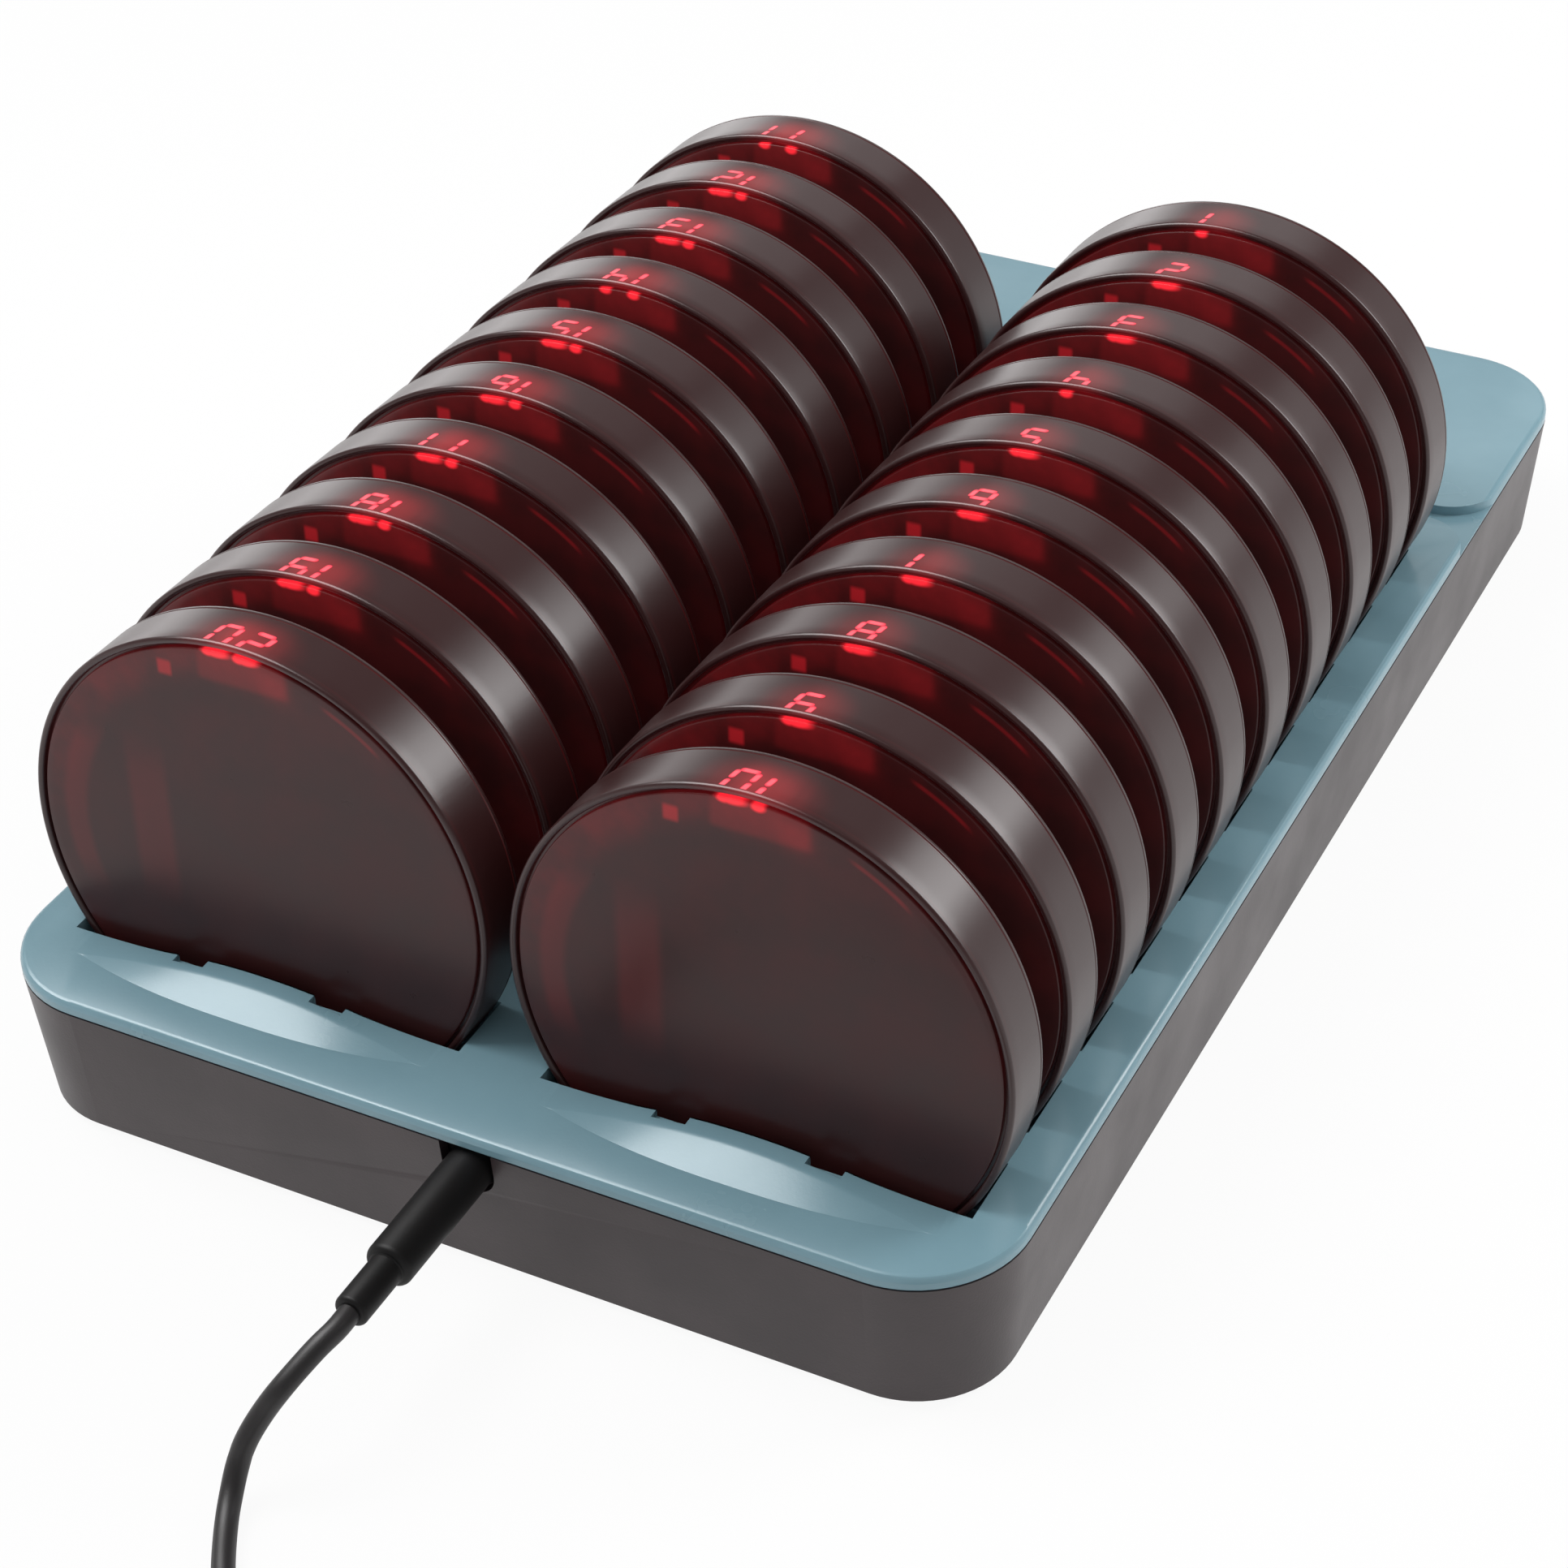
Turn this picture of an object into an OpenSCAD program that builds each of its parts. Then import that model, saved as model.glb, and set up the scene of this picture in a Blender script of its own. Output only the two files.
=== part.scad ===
// Guest pager system: a charging base with two columns of round coaster pagers.
// Millimetres. +Y runs from the front wall, where the power lead goes in, to the rear.
// z = 0 is the counter top, and the origin is the middle of the base.

/* [Base] */
// Width of the base at the seam
base_w = 210; // [205:1:260]
// Length of the base at the seam
base_l = 341; // [330:1:420]
// Plan radius of the base's corners at the seam
corner_r = 22; // [14:1:34]
// How far each wall draws in between the seam and the bottom
wall_draft = 2.4; // [0.5:0.1:4]
// Height of the seam between tray and cover
seam_z = 31.3; // [29:0.1:38]
// Wall and floor thickness of the tray
tray_wall = 2.4; // [1.8:0.1:3.2]
// Height of the rubber feet below the tray
foot_h = 2; // [1:0.1:3]
// Diameter of a rubber foot
foot_d = 14; // [8:0.5:20]

/* [Cover] */
// Height of the deck above the seam
deck_rise = 3.1; // [2.6:0.1:5]
// Thickness of the cover
cover_wall = 2; // [1.6:0.1:2.4]
// Radius on the deck's outer edge
edge_r = 1.3; // [0.6:0.1:2]
// Depth of the tongue that drops inside the tray
tongue_h = 3; // [2:0.1:5]
// Height of the lip in front of each column
lip_h = 3; // [2:0.1:5]
// Half length of the lip
lip_half = 40; // [32:1:42]
// Width of the channel in front of the rear platform
channel_w = 5; // [3:0.1:8]
// Depth of the channel
channel_depth = 2.3; // [1:0.1:2.5]

/* [Pagers] */
// Pagers in each column
rows = 10; // [10]
// Diameter of a pager
pager_d = 98.8; // [82:0.2:104]
// Thickness of a pager
pager_t = 12.8; // [12.6:0.1:15.4]
// Width of a pager's flat foot
flat_w = 63.2; // [52:0.2:66]
// Distance between neighbouring pagers in a column
pitch = 24.2; // [20:0.1:24.4]
// Distance of each column's middle from the middle of the base
column_x = 51.8; // [51:0.1:53]
// Backward lean of the pagers, in degrees
lean = 2.3; // [0:0.1:4]
// Height of a pager's flat foot in its slot
seat_z = 22; // [20:0.1:25]
// Distance from the front edge of the base to the first pager's face
front_margin = 22.6; // [22:0.1:30]
// Shell thickness of a pager
shell = 1.6; // [1.2:0.1:2]
// Edge radius of a pager
rim_r = 1; // [0.4:0.1:1.4]

/* [Charging] */
// Room in front of a pager in its slot
slot_front_gap = 2; // [0.6:0.1:2.4]
// Room behind a pager in its slot
slot_back_gap = 0.5; // [0.3:0.1:1]
// Room at each end of a slot
slot_end_gap = 0.9; // [0.4:0.1:1.2]
// Distance of a charging contact from the slot's middle
contact_x = 15.4; // [12:0.1:20]
// Thickness of the charging boards
board_t = 1.6; // [1:0.1:2]

/* [Power lead] */
// Distance of the power socket from the middle of the base
jack_x = 4; // [-6:1:6]
// Diameter of the plug's grip
grip_d = 9.3; // [8:0.1:9.6]
// Length of the plug's grip outside the base
grip_l = 27.2; // [27.2]
// Diameter of the strain relief behind the grip
relief_d = 6.6; // [5:0.1:8]
// Diameter of the cord
cord_d = 4.2; // [3:0.1:4.2]

/* [Hidden] */
deck_z = seam_z + deck_rise;
floor_z = foot_h + tray_wall;
root_z = foot_h + tray_wall / 2;
fit_gap = 0.1;
bond_gap = 0.05;

// A pager's own frame has its front face at y = 0 and the middle of its disc on the y axis
pager_r = pager_d / 2;
flat_z = -sqrt(pow(pager_r, 2) - pow(flat_w / 2, 2));
centre_z = seat_z - flat_z * cos(lean);
front_y = -base_l / 2 + front_margin;
rear_y = front_y + (rows - 1) * pitch + pager_t;

// Slots: the deck's top lies this far up in the pager's own frame
deck_in_pager = -(centre_z - deck_z) / cos(lean);
slot_half = sqrt(pow(pager_r, 2) - pow(deck_in_pager, 2)) + slot_end_gap;
tub_wall = 1.6;
tub_top_drop = 1;
slot_clear = 12;

// Lips: an arch that fades out at both ends, with a slope to the front
lip_y = front_y - (centre_z - deck_z) * tan(lean) - slot_front_gap;
lip_flat = 3.7;
lip_run = 9.7;
lip_sunk = 0.1;
lip_under = 0.9;
notch_w = 7;
notch_y = 1.8;
notch_z = 1.8;

// The field under the pagers and the rear platform, with the channel between them
platform_gap = 14.3;
channel_y = rear_y + platform_gap;
channel_r = 12;
run_out_by = 0.3;
reveal = 0.35;
reveal_h = 0.45;
tongue_t = 1.6;
bed_margin = 13;

// Charging boards and their spring contacts
post_z = 11;
board_top = post_z + board_t;
board_w = 2 * contact_x + 26;
board_l = (rows - 1) * pitch + 20;
board_y = (front_y + rear_y) / 2;
board_hole_in = 5;
contact_gap = 0.2;
barrel_pin_d = 2.8;
tip_d = 1.5;
tip_l = 1.5;
tip_root = 0.5;
pin_hole_d = 3.4;

// Screws
screw_d = 3;
thread_gap = 0.05;
head_d = 5.6;
head_h = 2.2;
board_screw_l = 6;
board_post_d = 7;
cover_screw_l = 10;
cover_screw_z = foot_h + 8;
post_top = cover_screw_z + 4;
tray_post_d = 9.6;
cover_post_d = 8;
corner_post_x = base_w / 2 - 17;
post_xy = [
    [-corner_post_x, -base_l / 2 + 10], [corner_post_x, -base_l / 2 + 10],
    [-corner_post_x, base_l / 2 - 15.5], [corner_post_x, base_l / 2 - 15.5],
    [0, board_y - 60], [0, board_y + 60]];
foot_x = base_w / 2 - 20;
foot_y = base_l / 2 - 30;
foot_recess = 0.8;

// Power socket and plug
jack_z = seam_z - 5.4;
recess_r = grip_d / 2 + 0.4;
jack_w = 12;
jack_h = 9;
jack_l = 12.5;
jack_y = -base_l / 2 + 3.4;
jack_gap = 0.3;
jack_rest_l = 5;
jack_pin_d = 2;
barrel_d = 5.5;
barrel_bore = 2.1;
barrel_l = 9.5;
bore_gap = 0.05;
grip_y = jack_y - jack_gap;
grip_end = -base_l / 2 - grip_l;
relief_l = 12;
grip_round = 1.2;
relief_round = 0.7;
lead_d = 1.6;
lead_step = 2.6;

// Insides of a pager
groove = 1.5;
cover_t = 1.5;
ledge = 1.4;
cover_r = pager_r - groove - fit_gap;
cavity_r = pager_r - groove - ledge;
cavity_flat = flat_z + shell + ledge;
pager_board_t = 1.2;
stand_off = 0.6;
pager_board_y = pager_t - shell - stand_off - pager_board_t;
work_y = pager_board_y - bond_gap;
display_w = 18.9;
display_l = 6.9;
display_h = 8.4;
display_top = sqrt(pow(cavity_r, 2) - pow(display_w / 2, 2)) - 0.15;
battery = [36, 5, 40];
lamp_bar = [6, 4, 32];
lamp_at = [-19, -16];
motor_d = 10;
motor_t = 3.4;
motor_at = [-29, -16];
pad_w = 6.6;
pad_t = 2;
pad_h = 8;
pad_y = work_y - pad_t;
battery_gap = 3;
battery_at = [9, flat_z + pad_h + battery_gap];

// Route of the cord: out of the plug and down to the counter, then to the coil
cord_r = cord_d / 2;
cord_sides = 8;
run_points = [
    [4, -209.7, 25.9], [4, -214, 25.9], [2.7, -218.7, 24.8], [0, -225.1, 21], [-2.6, -228.3, 16.5],
    [-4.5, -231.4, 12], [-5.3, -233.8, 8], [-4.7, -237.6, 4.3], [-2.6, -242.7, 2.4], [2, -250.4, 2.2],
    [6.5, -256.5, 2.2], [11, -262, 2.2], [15.2, -267.5, 2.3], [18.3, -273.5, 2.6], [19.8, -279.5, 2.9],
    [20, -284.8, 3]];

// The coil lies on its tie. Its loops spiral in, climb a layer in the half turn where the
// spiral reverses, and spiral out again on top
coil_x = 52;
coil_y = -289;
coil_r = 32;
coil_turns = 7.5;
coil_rings = 24;
coil_sides = 6;
loop_gap = 0.5;
loop_step = cord_d + loop_gap;
climb_turns = 0.5;
tie_t = 0.8;
tie_w = 6;
tie_gap = 0.1;
coil_z = tie_t + tie_gap + cord_r;

// The second free stretch, from the top of the coil to the mains adapter
tail_points = [
    [84, -284.8, 7.7], [84, -280.5, 7.4], [85.6, -274.6, 6.6], [89.2, -269.6, 5.8],
    [94.3, -266.2, 5.4], [100.2, -264.6, 5.6], [106, -264.5, 6]];
adapter_at = [106, -264.5, 6];
adapter_relief = [9, 12];
adapter_l = 62;
adapter_w = 40;
adapter_h = 27;
adapter_r = 4;
adapter_pin_d = 4;
adapter_pin_l = 19;
adapter_pin_step = 19;

fine = 360;
$fn = 64;

// Pager numbers run up the right column from the rear to the front, then the left column
left = 0;
right = 1;
function number(col, i) = col == right ? rows - i : 2 * rows - i;
function two_digits(n) = str(n < 10 ? "0" : "", n);
function pager_name(col, i) = str("pager_", two_digits(number(col, i)));

// The front pager of the right column is in single pieces, the others in case and works
function in_pieces(col, i) = col == right && i == 0;
PAGER_PIECES = ["rear_shell", "front_cover", "circuit_board", "display", "battery", "charge_contacts"];

// ---- shapes that repeat ----

// Plate with round corners, its middle on the z axis
module plate(w, l, r, h) {
    linear_extrude(h) {
        square([w, l - 2 * r], center = true);
        square([w - 2 * r, l], center = true);
        for (sx = [-1, 1], sy = [-1, 1]) translate([sx * (w / 2 - r), sy * (l / 2 - r)]) circle(r);
    }
}

// Block whose middle lies at x, with its low corner at y and z
module block(size, x, y, z) {
    translate([x - size[0] / 2, y, z]) cube(size);
}

// Cylinder along +y
module bar(r, l) {
    rotate([-90, 0, 0]) cylinder(r = r, h = l);
}

// Disc along +y with a flat foot
module footed(r, t, flat) {
    intersection() {
        rotate([-90, 0, 0]) cylinder(r = r, h = t, $fn = fine);
        block([2 * r + 2, t + 2, r - flat + 1], 0, -1, flat);
    }
}

function side(col) = 2 * col - 1;

module at_pager(col, i) {
    translate([side(col) * column_x, front_y + i * pitch, centre_z]) rotate([-lean, 0, 0]) children();
}

module at_each_pager() {
    for (col = [left, right], i = [0 : rows - 1]) at_pager(col, i) children();
}

// Both contacts of each slot, on vertical axes through the pager's charge pads
contact_mid = pad_y + pad_t / 2;
contact_row = contact_mid * cos(lean) + flat_z * sin(lean);
contact_z = centre_z - contact_mid * sin(lean) + flat_z * cos(lean) - contact_gap;
module at_each_contact() {
    for (col = [left, right], i = [0 : rows - 1], s = [-1, 1])
        translate([side(col) * column_x + s * contact_x, front_y + i * pitch + contact_row, 0]) children();
}

module at_cover_posts() {
    for (p = post_xy) translate([p[0], p[1], 0]) children();
}

module at_board_posts() {
    for (col = [left, right], sx = [-1, 1], sy = [-1, 1])
        translate([
            side(col) * column_x + sx * (board_w / 2 - board_hole_in),
            board_y + sy * (board_l / 2 - board_hole_in), 0]) children();
}

module at_feet() {
    for (sx = [-1, 1], sy = [-1, 1]) translate([sx * foot_x, sy * foot_y, 0]) children();
}

// ---- base ----

// Drafted block with round corners, from z0 up to the seam
module drafted(inset, z0, top) {
    w = base_w - 2 * inset;
    l = base_l - 2 * inset;
    thin = 0.1;
    hull() {
        translate([0, 0, top - thin]) plate(w, l, corner_r - inset, thin);
        translate([0, 0, z0])
            plate(w - 2 * wall_draft, l - 2 * wall_draft, corner_r - inset - wall_draft, thin);
    }
}

// Recess for the plug's grip, open towards the seam
module plug_recess() {
    depth = jack_y + base_l / 2 + 5;
    translate([jack_x, jack_y - depth, jack_z]) bar(recess_r, depth);
    block([2 * recess_r, depth, seam_z - jack_z + 1], jack_x, jack_y - depth, jack_z);
}

module bottom_tray() {
    color([0.27, 0.25, 0.26]) difference() {
        union() {
            difference() {
                drafted(0, foot_h, seam_z);
                drafted(tray_wall, floor_z, seam_z + 0.1);
            }
            at_cover_posts() translate([0, 0, root_z]) cylinder(d = tray_post_d, h = post_top - root_z);
            at_board_posts() translate([0, 0, root_z]) cylinder(d = board_post_d, h = post_z - root_z);
            block([jack_w, jack_rest_l, jack_z - jack_h / 2 - root_z], jack_x, jack_y, root_z);
        }
        at_cover_posts() {
            translate([0, 0, -1]) cylinder(d = head_d + 1, h = cover_screw_z + 1);
            cylinder(d = screw_d + 4 * fit_gap, h = post_top + 1);
        }
        at_board_posts() translate([0, 0, board_top - board_screw_l - 0.5])
            cylinder(d = screw_d + 2 * thread_gap, h = board_screw_l);
        at_feet() cylinder(d = foot_d + 2 * fit_gap, h = foot_h + foot_recess);
        plug_recess();
    }
}

module rubber_feet() {
    color([0.12, 0.12, 0.12]) at_feet() cylinder(d = foot_d, h = foot_h + foot_recess);
}

// Block of the whole deck, with a rounded top edge
module deck_block() {
    r = corner_r;
    low = seam_z + reveal_h;
    edge = [for (a = [0 : 30 : 90]) [r - edge_r + edge_r * cos(a), deck_z - edge_r + edge_r * sin(a)]];
    hull() for (sx = [-1, 1], sy = [-1, 1])
        translate([sx * (base_w / 2 - r), sy * (base_l / 2 - r), 0])
            rotate_extrude() polygon(concat([[0, low], [r, low]], edge, [[0, deck_z]]));
}

// Round-cornered outline from y0 to y1, wider than the base by a little, so that
// the channel's corners run out through its sides
module run_out(y0, y1) {
    w = base_w + 2 * run_out_by;
    translate([0, (y0 + y1) / 2]) {
        square([w, y1 - y0 - 2 * channel_r], center = true);
        square([w - 2 * channel_r, y1 - y0], center = true);
        for (sx = [-1, 1], sy = [-1, 1])
            translate([sx * (w / 2 - channel_r), sy * ((y1 - y0) / 2 - channel_r)]) circle(channel_r);
    }
}

module channel() {
    reach = 3 * channel_r;
    translate([0, 0, deck_z - channel_depth]) linear_extrude(channel_depth + 1) difference() {
        translate([-base_w / 2 - 2, channel_y - channel_r]) square([base_w + 4, channel_w + 2 * channel_r]);
        run_out(channel_y - reach, channel_y);
        run_out(channel_y + channel_w, channel_y + channel_w + reach);
    }
}

module cover_plate() {
    inner = tray_wall + fit_gap + 0.2;
    hollow = inner + tongue_t;
    under = deck_z - cover_wall;
    difference() {
        union() {
            deck_block();
            translate([0, 0, seam_z])
                plate(base_w - 2 * reveal, base_l - 2 * reveal, corner_r - reveal, reveal_h + 0.5);
            translate([0, 0, seam_z - tongue_h])
                plate(base_w - 2 * inner, base_l - 2 * inner, corner_r - inner, tongue_h + 0.5);
        }
        channel();
        difference() {
            translate([0, 0, seam_z - tongue_h - 1])
                plate(base_w - 2 * hollow, base_l - 2 * hollow, corner_r - hollow,
                    under - seam_z + tongue_h + 1);
            block([base_w, channel_w + 2 * bed_margin, channel_depth + 1],
                0, channel_y - bed_margin, under - channel_depth);
        }
    }
}

// Outline of a lip: one round crown that runs over into a hollow at both ends,
// which meet the deck a little below its surface
module arch() {
    h = lip_h + lip_sunk;
    r = (pow(lip_half, 2) + pow(h, 2)) / (4 * h);
    translate([0, -lip_sunk]) {
        intersection() {
            translate([0, h - r]) circle(r, $fn = fine);
            translate([-lip_half / 2, -1]) square([lip_half, h + 2]);
        }
        for (s = [-1, 1]) difference() {
            translate([s * 3 * lip_half / 4, h / 4 - 0.5])
                square([lip_half / 2, h / 2 + 1], center = true);
            translate([s * lip_half, r]) circle(r, $fn = fine);
        }
    }
}

module lip() {
    slope = (lip_run - lip_flat) / lip_h;
    profile = [[1, -lip_under], [1, lip_h + 1], [-lip_flat, lip_h + 1], [-lip_flat, lip_h],
        [-lip_run - slope * lip_under, -lip_under]];
    translate([0, lip_y, deck_z]) difference() {
        intersection() {
            translate([0, 2, 0]) rotate([90, 0, 0]) linear_extrude(lip_run + 4) arch();
            translate([-lip_half - 1, 0, 0]) rotate([90, 0, 90])
                linear_extrude(2 * lip_half + 2) polygon(profile);
        }
        for (s = [-1, 1])
            block([notch_w, notch_y + 2, lip_h], s * contact_x, -notch_y, lip_h - notch_z);
    }
}

// Room for one pager in its own frame, from its foot up, larger by the wall of its tub
module pager_room(wall, up) {
    block([2 * (slot_half + wall), pager_t + slot_front_gap + slot_back_gap + 2 * wall,
        deck_in_pager - flat_z + wall + up], 0, -slot_front_gap - wall, flat_z - wall);
}

module top_cover() {
    jack_top = jack_z + jack_h / 2;
    color([0.47, 0.62, 0.68]) difference() {
        union() {
            cover_plate();
            for (col = [left, right]) translate([side(col) * column_x, 0, 0]) lip();
            at_each_pager() pager_room(tub_wall, -tub_top_drop);
            at_cover_posts() translate([0, 0, post_top])
                cylinder(d = cover_post_d, h = deck_z - cover_wall / 2 - post_top);
        }
        at_each_pager() pager_room(0, slot_clear);
        at_each_contact() translate([0, 0, seat_z - 5]) cylinder(d = pin_hole_d, h = 6);
        at_cover_posts() translate([0, 0, post_top - 1])
            cylinder(d = screw_d + 2 * thread_gap, h = cover_screw_z + cover_screw_l - post_top + 2);
        block([jack_w + 1, tray_wall + tongue_t + 3, jack_top - seam_z + tongue_h + 1],
            jack_x, -base_l / 2 + reveal + 1.5, seam_z - tongue_h - 1 + 0.3);
    }
}

// ---- charging ----

module charge_boards() {
    color([0.10, 0.36, 0.20]) difference() {
        for (col = [left, right]) translate([side(col) * column_x, board_y, post_z])
            plate(board_w, board_l, 2, board_t);
        at_board_posts() translate([0, 0, post_z - 1]) cylinder(d = screw_d + 4 * fit_gap, h = board_t + 2);
    }
}

module spring_contacts() {
    color([0.83, 0.68, 0.32]) at_each_contact() {
        translate([0, 0, contact_z - tip_l - tip_root]) cylinder(d = tip_d, h = tip_l + tip_root);
        translate([0, 0, board_top]) cylinder(d = barrel_pin_d, h = contact_z - tip_l - board_top);
    }
}

module screw(l) {
    translate([0, 0, -head_h]) cylinder(d = head_d, h = head_h);
    cylinder(d = screw_d, h = l);
}

module case_screws() {
    color([0.62, 0.62, 0.64]) {
        at_cover_posts() translate([0, 0, cover_screw_z]) screw(cover_screw_l);
        at_board_posts() translate([0, 0, board_top]) mirror([0, 0, 1]) screw(board_screw_l);
    }
}

// ---- power ----

module power_jack() {
    hole = barrel_d + 2 * bore_gap;
    deep = barrel_l + 1;
    color([0.10, 0.10, 0.11]) translate([jack_x, jack_y, jack_z]) {
        difference() {
            block([jack_w, jack_l, jack_h], 0, 0, -jack_h / 2);
            translate([0, -1, 0]) bar(hole / 2, deep + 1);
        }
        translate([0, 1, 0]) bar(jack_pin_d / 2, deep);
    }
}

// Straight piece of wire with round ends
module wire(a, b) {
    d = b - a;
    translate(a) rotate([0, acos(d[2] / norm(d)), atan2(d[1], d[0])])
        cylinder(d = lead_d, h = norm(d), $fn = 16);
    translate(b) sphere(d = lead_d, $fn = 16);
}

// Two leads from the socket to the front edge of each board
module jack_leads() {
    z_run = board_top + lead_d / 2 + bond_gap;
    color([0.55, 0.08, 0.08]) for (col = [left, right], k = [0, 1]) {
        x = jack_x + side(col) * (1.4 + 2.2 * k);
        y = jack_y + jack_l - 2 - lead_step * k;
        x_board = side(col) * (column_x - board_w / 2 + 3 + lead_step * k);
        start = [x, y, jack_z - jack_h / 2];
        low = [x, y, z_run];
        turn = [x_board, y, z_run];
        end = [x_board, board_y - board_l / 2 + 0.8, z_run];
        wire(start, low);
        wire(low, turn);
        wire(turn, end);
    }
}

module plug_barrel() {
    color([0.75, 0.76, 0.78]) translate([jack_x, grip_y, jack_z]) difference() {
        bar(barrel_d / 2, barrel_l);
        translate([0, 0.5, 0]) bar(barrel_bore / 2, barrel_l);
    }
}

function quarter(r, at_r, at_y) = [for (a = [0 : 15 : 90]) [at_r - r + r * cos(a), at_y - r + r * sin(a)]];

module plug_grip() {
    l = grip_y - grip_end;
    bevel = 0.4;
    color([0.09, 0.09, 0.10]) translate([jack_x, grip_y, jack_z]) rotate([90, 0, 0])
        rotate_extrude() polygon(concat(
            [[0, 0], [grip_d / 2 - bevel, 0], [grip_d / 2, bevel]],
            quarter(grip_round, grip_d / 2, l),
            [[relief_d / 2, l]],
            quarter(relief_round, relief_d / 2, l + relief_l),
            [[0, l + relief_l]]));
}

// ---- cord ----

function unit(v) = v / norm(v);
function heading(p, k) = unit(p[min(k + 1, len(p) - 1)] - p[max(k - 1, 0)]);
function ring(c, t, r, n) = let (s = unit(cross(t, [0, 0, 1])), u = cross(s, t))
    [for (k = [0 : n - 1]) let (a = 360 * (k + 0.5) / n) c + r * (cos(a) * s + sin(a) * u)];

// Sweeps a ring along points as one closed mesh
module tube(p, headings, r, n) {
    last = (len(p) - 1) * n;
    polyhedron(
        [for (k = [0 : len(p) - 1]) each ring(p[k], headings[k], r, n)],
        concat(
            [for (k = [0 : len(p) - 2], j = [0 : n - 1])
                let (a = k * n + j, b = k * n + (j + 1) % n)
                each [[a, b, b + n], [a, b + n, a + n]]],
            [for (j = [1 : n - 2]) each [[0, j + 1, j], [last, last + j, last + j + 1]]]));
}

// Headings along a route whose first and last ones are given
function route_headings(p, first, last) =
    [for (k = [0 : len(p) - 1]) k == 0 ? first : k == len(p) - 1 ? last : heading(p, k)];

function loop_radius(t) = coil_r - loop_step * min(t, coil_turns - t);
function loop_height(t) = coil_z
    + loop_step * min(1, max(0, (t - coil_turns / 2) / climb_turns + 0.5));
function loop_point(t) = [
    coil_x + loop_radius(t) * cos(180 + 360 * t),
    coil_y + loop_radius(t) * sin(180 + 360 * t),
    loop_height(t)];
loops = [for (k = [0 : coil_rings * coil_turns]) loop_point(k / coil_rings)];
coil_line = concat([loops[0] + [0, cord_d, 0]], loops, [loops[len(loops) - 1] + [0, cord_d, 0]]);

// Least distance between the surfaces of loops at least half a turn apart
loop_gaps = [for (i = [0 : len(loops) - 1], j = [i + coil_rings / 2 : len(loops) - 1])
    norm(loops[i] - loops[j]) - cord_d];
echo(least_gap_between_loops = min(loop_gaps));
function path_length(p) = len(p) < 2 ? 0 : [for (k = [1 : len(p) - 1]) norm(p[k] - p[k - 1])]
    * [for (k = [1 : len(p) - 1]) 1];
echo(cord_length = path_length(run_points) + path_length(coil_line) + path_length(tail_points));

module cord_run() {
    color([0.09, 0.09, 0.10])
        tube(run_points, route_headings(run_points, [0, -1, 0], [0, -1, 0]), cord_r, cord_sides);
}

module cord_coil() {
    color([0.09, 0.09, 0.10])
        tube(coil_line, route_headings(coil_line, [0, -1, 0], [0, 1, 0]), cord_r, coil_sides);
}

module cord_tail() {
    color([0.09, 0.09, 0.10])
        tube(tail_points, route_headings(tail_points, [0, 1, 0], [1, 0, 0]), cord_r, cord_sides);
}

// Strap round all the loops where both layers lie on each other
module cord_tie() {
    outer_r = loop_radius(0) + cord_r;
    inner_r = loop_radius(coil_turns / 2 - 0.25) - cord_r - tie_gap;
    room = [tie_w + 2, outer_r - inner_r, loop_step + cord_d + 2 * tie_gap];
    color([0.10, 0.10, 0.11]) difference() {
        block([tie_w, room[1] + 2 * tie_t, room[2] + 2 * tie_t], coil_x, coil_y - outer_r - tie_t, 0);
        block(room, coil_x, coil_y - outer_r, tie_t);
    }
}

module adapter_case() {
    mid = adapter_at[0] + adapter_relief[1] + adapter_l / 2;
    color([0.10, 0.10, 0.11]) {
        translate([mid, adapter_at[1], 0]) plate(adapter_l, adapter_w, adapter_r, adapter_h);
        translate(adapter_at) rotate([0, 90, 0])
            cylinder(d1 = adapter_relief[0] - 2, d2 = adapter_relief[0], h = adapter_relief[1] + 1);
    }
}

module adapter_pins() {
    x = adapter_at[0] + adapter_relief[1] + adapter_l;
    color([0.78, 0.78, 0.80]) for (s = [-1, 1])
        translate([x, adapter_at[1] + s * adapter_pin_step / 2, adapter_h / 2]) rotate([0, 90, 0])
            cylinder(d = adapter_pin_d, h = adapter_pin_l);
}

// ---- pagers ----

function rim_arc(y0, a0) = [for (a = [a0 : 15 : a0 + 90])
    [pager_r - rim_r + rim_r * cos(a), y0 + rim_r * sin(a)]];

module rear_shell() {
    color([0.22, 0.14, 0.14]) {
        difference() {
            intersection() {
                rotate([-90, 0, 0]) rotate_extrude($fn = fine) polygon(concat(
                    [[0, 0]], rim_arc(rim_r, -90), rim_arc(pager_t - rim_r, 0), [[0, pager_t]]));
                block([pager_d + 2, pager_t + 2, pager_r - flat_z + 1], 0, -1, flat_z);
            }
            translate([0, -1, 0]) footed(pager_r - groove, 1 + cover_t, flat_z + shell);
            footed(cavity_r, pager_t - shell, cavity_flat);
            for (s = [-1, 1])
                block([pad_w + 2 * fit_gap, pad_t + 2 * fit_gap, cavity_flat - flat_z + 2],
                    s * contact_x, pad_y - fit_gap, flat_z - 1);
        }
        for (x = [-1, 1], z = [-1, 1])
            translate([26 * x, pager_t - shell - stand_off, 18 * z - 2]) bar(2, stand_off + 0.2);
    }
}

module front_cover() {
    color([0.22, 0.14, 0.14]) footed(cover_r, cover_t - bond_gap, flat_z + shell + fit_gap);
}

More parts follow.
